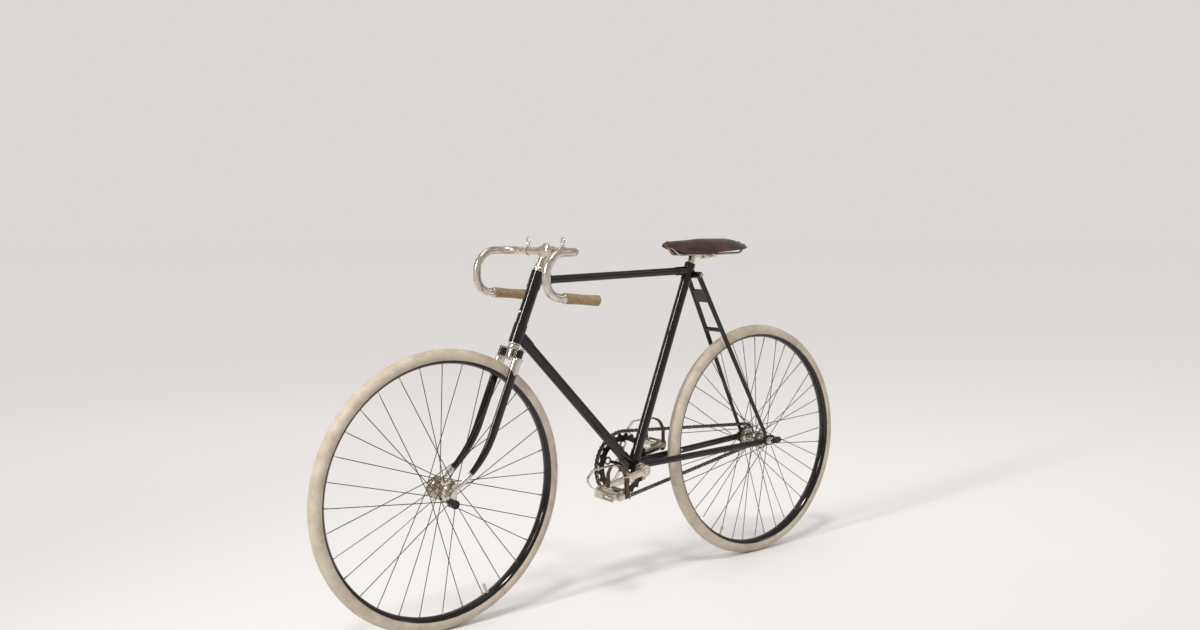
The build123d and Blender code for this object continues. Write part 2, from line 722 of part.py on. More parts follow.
fork_tip_plate = 5.0
fork_tip_eye = 23.0
blade_end_spread = (front_fork_gap + fork_tip_plate) / 2
sweep_rise = blade_straight_foot - axle_up
sweep_lead = fork_offset - blade_lead
sweep_radius = (sweep_rise**2 + sweep_lead**2) / (2 * sweep_lead)
sweep_angle = atan2(sweep_rise, sweep_radius - sweep_lead)
tip_angle = sweep_angle - fork_tip_length / sweep_radius


def blade_plane(turn, hand):
    """The plane across a blade on its curved part, this far round from where the curve starts."""
    forward = blade_lead + sweep_radius * (1 - cos(turn))
    up = blade_straight_foot - sweep_radius * sin(turn)
    left = blade_spread / 2 + (blade_end_spread - blade_spread / 2) * turn / sweep_angle
    origin = on_steering(forward, hand * left, up)
    down = on_steering(sin(turn), 0, -cos(turn)) - on_steering(0, 0, 0)
    ahead = on_steering(cos(turn), 0, sin(turn)) - on_steering(0, 0, 0)
    return Plane(origin=origin, x_dir=ahead, z_dir=down)


def straight_blade_plane(up, hand):
    """The plane across a blade on its straight part."""
    origin = on_steering(blade_lead, hand * blade_spread / 2, up)
    return Plane(origin=origin, x_dir=steering.x_dir, z_dir=-steering.z_dir)


def ellipse_face(plane, depth, width):
    """An oval section on a plane, its depth along local x."""
    with BuildSketch(plane) as oval:
        Ellipse(depth / 2, width / 2)
    return oval.sketch.face()


tip_depth = 14.5
tip_width = 12.0
for hand, label in ((1, "left"), (-1, "right")):
    with BuildPart() as fork_blade:
        loft([
            ellipse_face(straight_blade_plane(crown_top, hand), blade_depth, blade_width),
            ellipse_face(straight_blade_plane(blade_straight_foot, hand), blade_depth, blade_width),
        ])
        loft([
            ellipse_face(straight_blade_plane(blade_straight_foot, hand), blade_depth, blade_width),
            ellipse_face(blade_plane(tip_angle * 0.33, hand), blade_depth - 2, blade_width - 1),
            ellipse_face(blade_plane(tip_angle * 0.67, hand), blade_depth - 5, blade_width - 3),
            ellipse_face(blade_plane(tip_angle, hand), tip_depth, tip_width),
        ])
    finish(fork_blade, f"{label}_fork_blade")

with BuildPart() as fork_tips:
    for hand in (1, -1):
        loft([
            ellipse_face(blade_plane(tip_angle, hand), tip_depth, tip_width),
            ellipse_face(blade_plane((tip_angle + sweep_angle) / 2, hand), tip_depth - 1, tip_width - 4),
            ellipse_face(blade_plane(sweep_angle, hand), tip_depth, fork_tip_plate - 0.2),
        ])
        inner = hand * front_fork_gap / 2
        outer = hand * (front_fork_gap / 2 + fork_tip_plate)
        cross_rod(front_axle_point, inner, outer, fork_tip_eye)
        cross_rod(front_axle_point, inner - hand * tip_width, inner, fork_tip_eye, mode=Mode.SUBTRACT)
        cross_rod(front_axle_point, outer, outer + hand * tip_width, fork_tip_eye, mode=Mode.SUBTRACT)
    cross_rod(front_axle_point, -front_fork_gap, front_fork_gap, axle_size + 2 * braze_gap, mode=Mode.SUBTRACT)
finish(fork_tips, "fork_tips")

sleeve_length = 42.0
sleeve_notch = 26.0
crown_neck = 30.0
with BuildPart() as fork_crown:
    for height in (crown_lower_plate, crown_lower_plate + crown_plate_pitch):
        with BuildSketch(steering.offset(height)) as plate:
            SlotOverall(crown_length, crown_width, rotation=90)
        extrude(plate.sketch, amount=crown_plate / 2, both=True)
    rod(on_steering(0, 0, crown_top), on_steering(0, 0, head_tube_foot - head_cup - running_gap), crown_neck)
    for hand in (1, -1):
        with BuildSketch(straight_blade_plane(crown_foot, hand)) as sleeve:
            Ellipse(blade_depth / 2 + lug_wall, blade_width / 2 + lug_wall)
        extrude(sleeve.sketch, amount=sleeve_length)
    for hand in (1, -1):
        with BuildSketch(straight_blade_plane(crown_top + 1, hand)) as room:
            Ellipse(blade_depth / 2 + braze_gap, blade_width / 2 + braze_gap)
        extrude(room.sketch, amount=crown_top + 1 - blade_straight_foot, mode=Mode.SUBTRACT)
        sleeve_tip = on_steering(blade_lead, hand * blade_spread / 2, crown_foot - sleeve_length)
        with BuildSketch(Plane(origin=sleeve_tip, x_dir=steering.x_dir, z_dir=(0, -1, 0))) as notches:
            for lean in (1, -1):
                with BuildLine():
                    Polyline((0, 0), (lean * blade_depth, 0), (lean * blade_depth, sleeve_notch), (0, 0))
                make_face()
        extrude(notches.sketch, amount=blade_depth, both=True, mode=Mode.SUBTRACT)
    rod(on_steering(0, 0, 0), on_steering(0, 0, column_top), steerer_size + 2 * braze_gap, mode=Mode.SUBTRACT)
finish(fork_crown, "fork_crown")

front_nut_face = front_fork_gap / 2 + fork_tip_plate + 0.2
front_axle_end = front_nut_face + 12
front_hub_half = front_fork_gap / 2 - 5
with BuildPart() as front_axle:
    cross_rod(front_axle_point, -front_axle_end, front_axle_end, axle_size)
    for hand in (1, -1):
        cross_rod(front_axle_point, hand * (front_hub_half + 0.3), hand * (front_fork_gap / 2 - braze_gap), 16)
        cross_rod(front_axle_point, hand * front_nut_face, hand * (front_nut_face + washer), 19)
        with BuildSketch(side_plane(front_axle_point, hand * (front_nut_face + washer + 3.6))) as nut:
            RegularPolygon(8.5, 6)
        extrude(nut.sketch, amount=3.6, both=True)
finish(front_axle, "front_axle")

# Distance counter hung below the left end of the front axle
counter_size = 22.0
counter_length = 26.0
counter_ahead = 11.0
counter_below = 20.0
counter_strap = 3.6
strap_left = front_axle_end - 0.8
counter_centre = front_axle_point + Vector(counter_ahead, 0, -counter_below)
with BuildPart() as distance_counter:
    cross_rod(counter_centre, strap_left + counter_strap / 2, strap_left + counter_strap / 2 + counter_length,
              counter_size)
    with BuildSketch(side_plane(front_axle_point, strap_left)) as strap:
        Circle(8.5)
        with Locations((counter_ahead, -counter_below)):
            Circle(8)
        make_hull()
    extrude(strap.sketch, amount=counter_strap / 2, both=True)
    cross_rod(front_axle_point, front_nut_face, front_nut_face + 20, axle_size + 2 * braze_gap, mode=Mode.SUBTRACT)
finish(distance_counter, "distance_counter")

# Handlebar, stem and what is fixed to the bar
bar_wall = 1.6
bar_end_run = 160.0
bar_centre = on_steering(0, 0, bar_height)


def on_bar(forward, left, up):
    """A point given from the middle of the handlebar, square to the ground."""
    return bar_centre + Vector(forward, left, up)


half_route = (
    # forward, left, up
    (0, bar_half_width, 0),
    (bar_reach, bar_half_width, 0),
    (bar_reach, bar_half_width, -bar_drop),
    (bar_reach - bar_end_run, bar_half_width + 4, -bar_drop - 15),
)
bar_route = [on_bar(x, -y, z) for x, y, z in reversed(half_route)] + [on_bar(*point) for point in half_route]
with BuildPart() as handlebar:
    with BuildLine() as bar_path:
        FilletPolyline(*bar_route, radius=[44, 56, 50, 50, 56, 44])
    with BuildSketch(along(bar_route[0], bar_route[1])) as bar_section:
        Circle(bar_size / 2)
        Circle(bar_size / 2 - bar_wall, mode=Mode.SUBTRACT)
    sweep(bar_section.sketch, path=bar_path.wire())
finish(handlebar, "handlebar")

stem_size = 23.0
stem_foot = 7.0
stem_sleeve_half = 21.0
with BuildPart() as stem:
    rod(on_steering(0, 0, column_top + braze_gap), on_steering(0, 0, column_top + stem_foot), stem_size + 6)
    rod(on_steering(0, 0, column_top + stem_foot - 2), bar_centre, stem_size)
    cross_rod(bar_centre, -stem_sleeve_half, stem_sleeve_half, bar_size + 6)
    cross_rod(bar_centre, -2 * stem_sleeve_half, 2 * stem_sleeve_half, bar_size + 2 * braze_gap,
              mode=Mode.SUBTRACT)
finish(stem, "stem")

with BuildPart() as lock_collar:
    rod(on_steering(0, 0, head_tube_top + head_cup + running_gap), on_steering(0, 0, column_top), 31,
        steerer_size + 2 * braze_gap)
finish(lock_collar, "lock_collar")

grip_cap = 4.0
with BuildPart() as grips:
    for hand in (1, -1):
        grip_end = handed(bar_route[-1], hand)
        grip_run = handed(bar_route[-2], hand)
        rod(toward(grip_end, grip_run, -grip_cap), toward(grip_end, grip_run, grip_length), grip_size)
        rod(grip_end, toward(grip_end, grip_run, grip_length + 10), bar_size + 2 * braze_gap, mode=Mode.SUBTRACT)
finish(grips, "grips")

bell_left = 32.0
bell_radius = 21.5
bell_back = Vector(20, 0, 2)
bell_depth = Vector(14, 0, 0)
bell_clamp_half = 6.0
with BuildPart() as bell:
    bell_middle = on_bar(0, bell_left, 0)
    cross_rod(bell_middle, bell_left - bell_clamp_half, bell_left + bell_clamp_half, bar_size + 5)
    rod(bell_middle, bell_middle + bell_back + bell_depth / 3, 8)
    cross_rod(bell_middle, bell_left - bar_size, bell_left + bar_size, bar_size + 2 * braze_gap,
              mode=Mode.SUBTRACT)
    rod(bell_middle + bell_back, bell_middle + bell_back + bell_depth, 2 * bell_radius)
    fillet(bell.edges().group_by(Axis.X)[-1], bell_depth.length - 2)
finish(bell, "bell")

loop_left = 82.0
loop_band_half = 5.0
loop_length = 28.0
loop_width = 18.0
loop_wire = 4.0
with BuildPart() as bar_loops:
    for hand in (1, -1):
        middle = on_bar(0, hand * loop_left, 0)
        cross_rod(middle, middle.Y - loop_band_half, middle.Y + loop_band_half, bar_size + loop_wire)
        cross_rod(middle, middle.Y - bar_size, middle.Y + bar_size, bar_size + 2 * braze_gap, mode=Mode.SUBTRACT)
    for hand in (1, -1):
        middle = on_bar(0, hand * loop_left, (bar_size + loop_length) / 2 + 1)
        with BuildSketch(Plane(origin=middle, x_dir=(0, 1, 0), z_dir=(1, 0, 0))) as loop:
            SlotOverall(loop_length, loop_width, rotation=90)
            SlotOverall(loop_length - 2 * loop_wire, loop_width - 2 * loop_wire, rotation=90,
                        mode=Mode.SUBTRACT)
        extrude(loop.sketch, amount=loop_wire / 2, both=True)
finish(bar_loops, "bar_loops")


# Wheels
def ring_plane(centre):
    """The plane a wheel's section is drawn on: local x to the left, local y out from the axle."""
    return Plane(origin=centre, x_dir=(0, 1, 0), z_dir=(1, 0, 0))


def tyre_and_rim(centre, label):
    """One tyre and the hollow crescent rim it is stuck to."""
    axle = Axis((centre.X, centre.Y, centre.Z), (0, 1, 0))
    edge = rim_width / 2
    seat = rim_well_radius + rim_wall + 1
    with BuildPart() as tyre:
        with BuildSketch(ring_plane(centre)) as section:
            with BuildLine():
                ThreePointArc((-edge, rim_edge_radius + 1.4), (0, tyre_radius), (edge, rim_edge_radius + 1.4))
                ThreePointArc((edge, rim_edge_radius + 1.4), (0, seat + 0.3), (-edge, rim_edge_radius + 1.4))
            make_face()
        revolve(section.sketch, axis=axle)
    finish(tyre, f"{label}_tyre")
    with BuildPart() as rim:
        with BuildSketch(ring_plane(centre)) as section:
            with BuildLine():
                ThreePointArc((-edge, rim_edge_radius + 1), (0, seat), (edge, rim_edge_radius + 1))
                Line((edge, rim_edge_radius + 1), (edge + 0.5, rim_edge_radius - 0.5))
                ThreePointArc((edge + 0.5, rim_edge_radius - 0.5), (0, rim_well_radius),
                              (-edge - 0.5, rim_edge_radius - 0.5))
                Line((-edge - 0.5, rim_edge_radius - 0.5), (-edge, rim_edge_radius + 1))
            make_face()
        revolve(section.sketch, axis=axle)
    finish(rim, f"{label}_rim")


def spoke_set(centre, count, crossings, label):
    """Crossed wire spokes: on each flange every other hole leads and the next one trails."""
    step = 4 * pi / count
    lean = crossings * step
    hole_radius = flange_radius - 3
    with BuildPart() as spokes:
        for hand in (1, -1):
            for number in range(count // 2):
                lead = 1 if number % 2 else -1
                turn = number * step + (step / 2 if hand < 0 else 0)
                flange_side = flange_plate / 2 + spoke_size / 2 + (1.7 if lead > 0 else braze_gap)
                left = hand * (flange_spread / 2 + lead * flange_side)
                start = on_circle(centre, hole_radius, turn) + Vector(0, left, 0)
                end = on_circle(centre, rim_well_radius - 0.2, turn + lead * lean) + Vector(0, hand * 2.5, 0)
                rod(start, end, spoke_size)
    finish(spokes, f"{label}_spokes")


def hub(centre, half_width, label):
    """A flanged hub that runs free on its axle."""
    with BuildPart() as body:
        cross_rod(centre, -half_width, half_width, hub_end)
        cross_rod(centre, -flange_spread / 2, flange_spread / 2, hub_barrel)
        for hand in (1, -1):
            middle = hand * flange_spread / 2
            cross_rod(centre, middle - flange_plate / 2, middle + flange_plate / 2, 2 * flange_radius)
        cross_rod(centre, -half_width - 1, half_width + 1, axle_size + 2 * running_gap, mode=Mode.SUBTRACT)
    finish(body, f"{label}_hub")


tyre_and_rim(front_axle_point, "front")
spoke_set(front_axle_point, front_spokes, 3, "front")
hub(front_axle_point, front_hub_half, "front")
tyre_and_rim(rear_axle_point, "rear")
spoke_set(rear_axle_point, rear_spokes, 4, "rear")
hub(rear_axle_point, rear_hub_half, "rear")


def toothed_disc(centre, teeth, pitch_radius, left):
    """A disc whose teeth stop just short of the chain's blocks."""
    tip = pitch_radius - block_height / 2 - tooth_gap
    root = tip - tooth_height
    points = []
    for number in range(teeth):
        middle = 2 * pi * (number + 0.5) / teeth
        for radius, half in ((root, -tooth_foot), (tip, -tooth_tip), (tip, tooth_tip), (root, tooth_foot)):
            turn = middle + half / radius
            points.append((radius * cos(turn), radius * sin(turn)))
    with BuildSketch(side_plane(centre, left)) as outline:
        Polygon(*points, align=None)
    extrude(outline.sketch, amount=tooth_width / 2, both=True)


with BuildPart() as sprocket:
    toothed_disc(rear_axle_point, sprocket_teeth, sprocket_pitch_radius, -chain_line)
    cross_rod(rear_axle_point, -chain_line - tooth_width, -chain_line + tooth_width, hub_end + 2 * braze_gap,
              mode=Mode.SUBTRACT)
finish(sprocket, "sprocket")

# Cranks on their axle, and the chainwheel on the right crank's boss
crank_face = crank_inner_face + crank_thickness
with BuildPart() as crank_axle:
    cross_rod(bracket_point, -crank_face - 1, crank_face + 1, crank_axle_size)
finish(crank_axle, "crank_axle")


def pedal_point(hand):
    """The middle of the pedal spindle's root; the left crank points forward, the right one back."""
    turn = radians(crank_rest_angle) + (0 if hand > 0 else pi)
    return on_circle(bracket_point, crank_length, turn)


pedal_boss = 25.0
pedal_hole = 14.0
crank_root_half = 11.0
crank_tip_half = 9.0
for hand, label in ((1, "left"), (-1, "right")):
    foot = pedal_point(hand)
    run = foot - bracket_point
    with BuildPart() as crank:
        crank_middle = handed(bracket_point + side * (crank_inner_face + crank_thickness / 2), hand)
        plane = Plane(origin=crank_middle, x_dir=run.normalized(), z_dir=(0, -1, 0))
        with BuildSketch(plane) as outline:
            Circle(crank_boss / 2)
            with Locations((crank_length, 0)):
                Circle(pedal_boss / 2)
            Polygon((0, crank_root_half), (crank_length, crank_tip_half), (crank_length, -crank_tip_half),
                    (0, -crank_root_half), align=None)
        extrude(outline.sketch, amount=crank_thickness / 2, both=True)
        cross_rod(bracket_point, -2 * crank_face, 2 * crank_face, crank_axle_size + 2 * braze_gap,
                  mode=Mode.SUBTRACT)
        cross_rod(foot, -2 * crank_face, 2 * crank_face, pedal_hole + 2 * braze_gap, mode=Mode.SUBTRACT)
    finish(crank, f"{label}_crank")

arm_count = 5
ring_inner = 70.0
loop_size = 24.0
loop_band = 5.0
loop_reach = ring_inner - loop_size / 2 + 1.5
arm_width = 9.0
wheel_boss = 36.0
with BuildPart() as chainwheel:
    toothed_disc(bracket_point, chainwheel_teeth, chainwheel_pitch_radius, -chain_line)
    cross_rod(bracket_point, -chain_line - tooth_width, -chain_line + tooth_width, 2 * ring_inner,
              mode=Mode.SUBTRACT)
    with BuildSketch(side_plane(bracket_point, -chain_line)) as spider:
        Circle(wheel_boss / 2 + 2)
        with PolarLocations(ring_inner / 2 - 4, arm_count, start_angle=90):
            Rectangle(ring_inner - loop_size - 2, arm_width)
        with PolarLocations(loop_reach, arm_count, start_angle=90):
            Circle(loop_size / 2)
        with PolarLocations(loop_reach, arm_count, start_angle=90):
            Circle(loop_size / 2 - loop_band, mode=Mode.SUBTRACT)
    extrude(spider.sketch, amount=tooth_width / 2, both=True)
    cross_rod(bracket_point, -crank_inner_face + braze_gap, -chain_line, wheel_boss)
    cross_rod(bracket_point, -crank_face, crank_face, crank_axle_size + 2 * braze_gap, mode=Mode.SUBTRACT)
finish(chainwheel, "chainwheel")

# Rat-trap pedals: a barrel, two end plates and two toothed side plates
pedal_inner = crank_face + pedal_inner_gap
pedal_outer = pedal_inner + pedal_width
spindle_size = 10.0
end_plate = 3.0
barrel = 19.0
saw_depth = 3.6
with BuildPart() as pedal_spindles:
    for hand in (1, -1):
        foot = pedal_point(hand)
        cross_rod(foot, hand * (crank_inner_face - 0.5), hand * (crank_face + 1.5), pedal_hole)
        cross_rod(foot, hand * crank_face, hand * (pedal_outer - end_plate), spindle_size)
finish(pedal_spindles, "pedal_spindles")

tooth_count = 8
for hand, label in ((1, "left"), (-1, "right")):
    foot = pedal_point(hand)
    near = hand * pedal_inner
    far = hand * pedal_outer
    with BuildPart() as pedal:
        cross_rod(foot, near, far, barrel)
        for left in (near + hand * (1 + end_plate / 2), far - hand * (8 + end_plate / 2)):
            with BuildSketch(side_plane(foot, left)) as plate:
                Rectangle(pedal_length - 2 * pedal_plate, 15)
                Circle(barrel / 2 + 4.5)
            extrude(plate.sketch, amount=end_plate / 2, both=True)
        for facing in (1, -1):
            saw_plane = Plane(origin=(foot.X + facing * (pedal_length - pedal_plate) / 2, 0, foot.Z),
                              x_dir=(0, 1, 0), z_dir=(1, 0, 0))
            half = pedal_plate_height / 2
            tooth_run = (pedal_width - 2) / tooth_count
            with BuildSketch(saw_plane) as saw:
                with Locations((hand * (pedal_inner + pedal_width / 2 - 1), 0)):
                    Rectangle(pedal_width - 2, pedal_plate_height - 2 * saw_depth + 0.2)
                for number in range(tooth_count):
                    middle = hand * (pedal_inner + tooth_run * (number + 0.5))
                    for rise in (1, -1):
                        Polygon((middle - tooth_run / 2, rise * (half - saw_depth)), (middle, rise * half),
                                (middle + tooth_run / 2, rise * (half - saw_depth)), align=None)
            extrude(saw.sketch, amount=pedal_plate / 2, both=True)
        cross_rod(foot, near - hand, far - hand * 2, spindle_size + 2 * running_gap, mode=Mode.SUBTRACT)
    finish(pedal, f"{label}_pedal")

    clip_left = hand * (pedal_inner + pedal_width / 2)
    root_x = pedal_length / 2 + clip_band / 2 + braze_gap
    clip_route = [foot + Vector(x, clip_left, z) for x, z in (
        (root_x, -9),
        (root_x, 6),
        (clip_reach - 13, clip_height - 48),
        (clip_reach, clip_height - 26),
        (clip_reach - 22, clip_height - 4),
        (-2, clip_height),
    )]
    with BuildPart() as toe_clip:
        with BuildLine() as clip_path:
            FilletPolyline(*clip_route, radius=[5, 12, 14, 14])
        with BuildSketch(along(clip_route[0], clip_route[1])) as band:
            Rectangle(clip_band, clip_width)
        sweep(band.sketch, path=clip_path.wire())
    finish(toe_clip, f"{label}_toe_clip")
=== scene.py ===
# Vintage safety bicycle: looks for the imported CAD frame, in metres, +X forward, +Y left, +Z up.
import json
import math
import bpy
import bmesh
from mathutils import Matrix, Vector


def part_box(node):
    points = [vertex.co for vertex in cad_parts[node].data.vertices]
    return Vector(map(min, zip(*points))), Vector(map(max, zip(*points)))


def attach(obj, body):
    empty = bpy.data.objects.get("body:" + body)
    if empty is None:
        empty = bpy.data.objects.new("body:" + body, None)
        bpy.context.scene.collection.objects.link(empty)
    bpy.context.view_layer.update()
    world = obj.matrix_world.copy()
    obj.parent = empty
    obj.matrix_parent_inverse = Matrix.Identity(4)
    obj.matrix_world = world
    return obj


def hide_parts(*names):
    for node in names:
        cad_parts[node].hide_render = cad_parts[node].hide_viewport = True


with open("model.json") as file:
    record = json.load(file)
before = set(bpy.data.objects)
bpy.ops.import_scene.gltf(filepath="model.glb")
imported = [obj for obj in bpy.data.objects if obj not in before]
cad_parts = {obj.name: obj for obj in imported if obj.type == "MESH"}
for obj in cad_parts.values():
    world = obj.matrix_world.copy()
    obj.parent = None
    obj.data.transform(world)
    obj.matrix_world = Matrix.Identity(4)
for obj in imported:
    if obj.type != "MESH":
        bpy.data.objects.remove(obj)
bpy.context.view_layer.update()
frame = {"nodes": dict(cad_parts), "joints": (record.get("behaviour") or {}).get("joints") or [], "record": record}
print("frame loaded")

joints = {joint["name"]: joint for joint in frame["joints"]}
frontAxle = Vector(joints["front_wheel_spin"]["pos_m"])
rearAxle = Vector(joints["rear_wheel_spin"]["pos_m"])
bracket = Vector(joints["crank_spin"]["pos_m"])
steerFoot = Vector(joints["steering_turn"]["pos_m"])
steerUp = Vector(joints["steering_turn"]["axis"]).normalized()
steerAhead = Vector((0, 1, 0)).cross(steerUp)
pedalPoint = {1: Vector(joints["left_pedal_spin"]["pos_m"]), -1: Vector(joints["right_pedal_spin"]["pos_m"])}


def onSteering(ahead, left, up):
    return steerFoot + steerAhead * ahead + Vector((0, left, 0)) + steerUp * up


# Node helpers

def linear(hexColour):
    values = [int(hexColour[i:i + 2], 16) / 255 for i in (1, 3, 5)]
    return tuple(v / 12.92 if v <= 0.04045 else ((v + 0.055) / 1.055) ** 2.4 for v in values) + (1.0,)


def linkInto(tree, node, links):
    # a link comes from a socket, or from a node's first output
    for key, source in links.items():
        socket = source.outputs[0] if isinstance(source, bpy.types.Node) else source
        tree.links.new(socket, node.inputs[key])


def addNode(tree, kind, values=None, links=None, stops=(), **settings):
    # adds a node with its settings, socket values and links; stops are a colour ramp's places and colours
    node = tree.nodes.new(kind)
    for key, value in settings.items():
        setattr(node, key, value)
    for key, value in (values or {}).items():
        node.inputs[key].default_value = value
    linkInto(tree, node, links or {})
    for number, (place, colour) in enumerate(stops):
        band = node.color_ramp.elements
        stop = band[number] if number < len(band) else band.new(place)
        stop.position = place
        stop.color = linear(colour) if isinstance(colour, str) else (colour, colour, colour, 1)
    return node


def newMaterial(name, colour, roughness, metallic=0.0):
    # starts a material: its object coordinates, surface shader and output
    material = bpy.data.materials.new(name)
    material.use_nodes = True
    tree = material.node_tree
    tree.nodes.clear()
    coords = addNode(tree, "ShaderNodeTexCoord").outputs["Object"]
    shader = addNode(tree, "ShaderNodeBsdfPrincipled",
                     {"Base Color": linear(colour), "Roughness": roughness, "Metallic": metallic})
    addNode(tree, "ShaderNodeOutputMaterial", links={"Surface": shader})
    return material, tree, coords, shader


def perMetre(millimetres):
    return 1000 / millimetres


# Materials: lengths in millimetres; "from" and "to" bound where a pattern's second colour comes in

broken = 0.55    # how rough a plain noise is from one scale to the next
edgeSamples = 4
simpleLooks = {
    # nickel plated steel, polished then aged: warm, a little milky, with soft brown tarnish in patches
    "agedNickelPlate": {"colour": "#d9d3c8", "second": "#b5a892", "from": 0.46, "to": 0.78, "metallic": 1.0,
                        "patch": 24, "detail": 5, "broken": 0.55, "roughness": 0.12, "dull": 0.3,
                        "dullTo": 0.8, "grain": 1.1, "grainDetail": 2, "depth": 0.02, "strength": 0.3,
                        "edge": 0.5},
    # bare drawn and stamped steel kept in oil: grey, with brown-black grease in patches
    "oiledBareSteel": {"colour": "#6d665e", "second": "#292320", "from": 0.36, "to": 0.66, "metallic": 0.95,
                       "patch": 7.7, "detail": 5, "broken": 0.65, "roughness": 0.26, "dull": 0.55,
                       "dullTo": 0.75, "depth": 0.08, "strength": 0.4, "edge": 0.4},
    # drawn spoke wire, wiped with oil: long soft changes of tone
    "drawnSpokeWire": {"colour": "#5a534b", "second": "#3b342e", "from": 0.35, "to": 0.7, "metallic": 1.0,
                       "patch": 45, "detail": 3, "broken": 0.55, "roughness": 0.3,
                       "grain": 0.67, "grainDetail": 1, "depth": 0.03, "strength": 0.3},
    # turned and polished steel, wiped with oil: bright, with a little brown in the pits
    "polishedBareSteel": {"colour": "#b9b2a8", "second": "#7d6c59", "from": 0.45, "to": 0.75, "metallic": 1.0,
                          "patch": 4.2, "detail": 4, "broken": 0.6, "roughness": 0.24,
                          "depth": 0.03, "strength": 0.3, "edge": 0.3},
    # hammered copper, dulled brown
    "hammeredCopper": {"colour": "#9a5c3c", "second": "#5f3826", "from": 0.4, "to": 0.7, "metallic": 1.0,
                       "patch": 1.1, "detail": 2, "broken": 0.55, "roughness": 0.36, "depth": 0.2,
                       "strength": 0.5},
    # brown harness leather, cut from the flat and oiled
    "brownHarnessLeather": {"colour": "#35231a", "second": "#5d4029", "from": 0.35, "to": 0.65,
                            "metallic": 0.0, "patch": 8.3, "detail": 5, "broken": 0.55, "roughness": 0.55,
                            "depth": 0.3, "strength": 0.4},
}
dullFrom = 0.3    # where in the patches the dull value starts


def patchyFinish(name):
    # one pattern spreads the second colour; the dull value, the grain and the rounded edge come where given
    look = simpleLooks[name]
    material, tree, coords, shader = newMaterial(name, look["colour"], look["roughness"], look["metallic"])
    patches = addNode(tree, "ShaderNodeTexNoise", {"Scale": perMetre(look["patch"]), "Detail": look["detail"],
                                                   "Roughness": look["broken"]}, {"Vector": coords})
    tint = addNode(tree, "ShaderNodeValToRGB", links={"Fac": patches},
                   stops=((look["from"], look["colour"]), (look["to"], look["second"])))
    surface = {"Base Color": tint}
    if "dull" in look:
        surface["Roughness"] = addNode(tree, "ShaderNodeMapRange",
                                       {"From Min": dullFrom, "From Max": look["dullTo"],
                                        "To Min": look["roughness"], "To Max": look["dull"]},
                                       {"Value": patches})
    relief = {"Height": patches}
    if "grain" in look:
        relief["Height"] = addNode(tree, "ShaderNodeTexNoise",
                                   {"Scale": perMetre(look["grain"]), "Detail": look["grainDetail"],
                                    "Roughness": broken}, {"Vector": coords})
    if "edge" in look:
        relief["Normal"] = addNode(tree, "ShaderNodeBevel", {"Radius": look["edge"] / 1000},
                                   samples=edgeSamples)
    surface["Normal"] = addNode(tree, "ShaderNodeBump",
                                {"Strength": look["strength"], "Distance": look["depth"] / 1000}, relief)
    linkInto(tree, shader, surface)
    return material


enamelLook = {"black": "#0e0c0b", "dusty": "#3b332a", "dust": 0.16, "dustPatch": 71, "dustDetail": 5,
              "dustFrom": 0.15, "dustTo": 0.5, "settling": 0.5, "smear": 18, "smearDetail": 4,
              "smearFrom": 0.3, "smearTo": 0.75, "glossy": 0.05, "smeared": 0.15, "peel": 2.4,
              "peelDetail": 1, "peelDepth": 0.06, "strength": 0.35, "edge": 0.6}


def stovedEnamel():
    # black enamel, dipped and stoved: deep gloss, faint orange peel, road dust where it settles
    look = enamelLook
    material, tree, coords, shader = newMaterial("stovedBlackEnamel", look["black"], look["glossy"])
    cloud = addNode(tree, "ShaderNodeTexNoise", {"Scale": perMetre(look["dustPatch"]),
                                                 "Detail": look["dustDetail"], "Roughness": broken},
                    {"Vector": coords})
    facing = addNode(tree, "ShaderNodeNewGeometry").outputs["Normal"]
    upward = addNode(tree, "ShaderNodeSeparateXYZ", links={"Vector": facing}).outputs["Z"]
    settled = addNode(tree, "ShaderNodeMath", {1: look["settling"]}, {0: upward}, operation="MULTIPLY")
    both = addNode(tree, "ShaderNodeMath", links={0: settled, 1: cloud}, operation="MULTIPLY", use_clamp=True)
    dust = addNode(tree, "ShaderNodeValToRGB", links={"Fac": both},
                   stops=((look["dustFrom"], 0.0), (look["dustTo"], look["dust"])))
    colour = addNode(tree, "ShaderNodeMix", {"A": linear(look["black"]), "B": linear(look["dusty"])},
                     {"Factor": dust}, data_type="RGBA")
    smear = addNode(tree, "ShaderNodeTexNoise", {"Scale": perMetre(look["smear"]),
                                                 "Detail": look["smearDetail"], "Roughness": broken},
                    {"Vector": coords})
    gloss = addNode(tree, "ShaderNodeMapRange", {"From Min": look["smearFrom"], "From Max": look["smearTo"],
                                                 "To Min": look["glossy"], "To Max": look["smeared"]},
                    {"Value": smear})
    peel = addNode(tree, "ShaderNodeTexNoise", {"Scale": perMetre(look["peel"]), "Detail": look["peelDetail"],
                                                "Roughness": broken}, {"Vector": coords})
    softEdge = addNode(tree, "ShaderNodeBevel", {"Radius": look["edge"] / 1000}, samples=edgeSamples)
    relief = addNode(tree, "ShaderNodeBump",
                     {"Strength": look["strength"], "Distance": look["peelDepth"] / 1000},
                     {"Height": peel, "Normal": softEdge})
    linkInto(tree, shader, {"Base Color": colour.outputs["Result"], "Roughness": gloss, "Normal": relief})
    return material


chainwheelLook = {"ring": "#4a4540", "bareFrom": 66, "bareTo": 74, "wander": 8, "plated": 0.18,
                  "greasy": 0.42, "depth": 0.05, "strength": 0.3, "edge": 0.5}


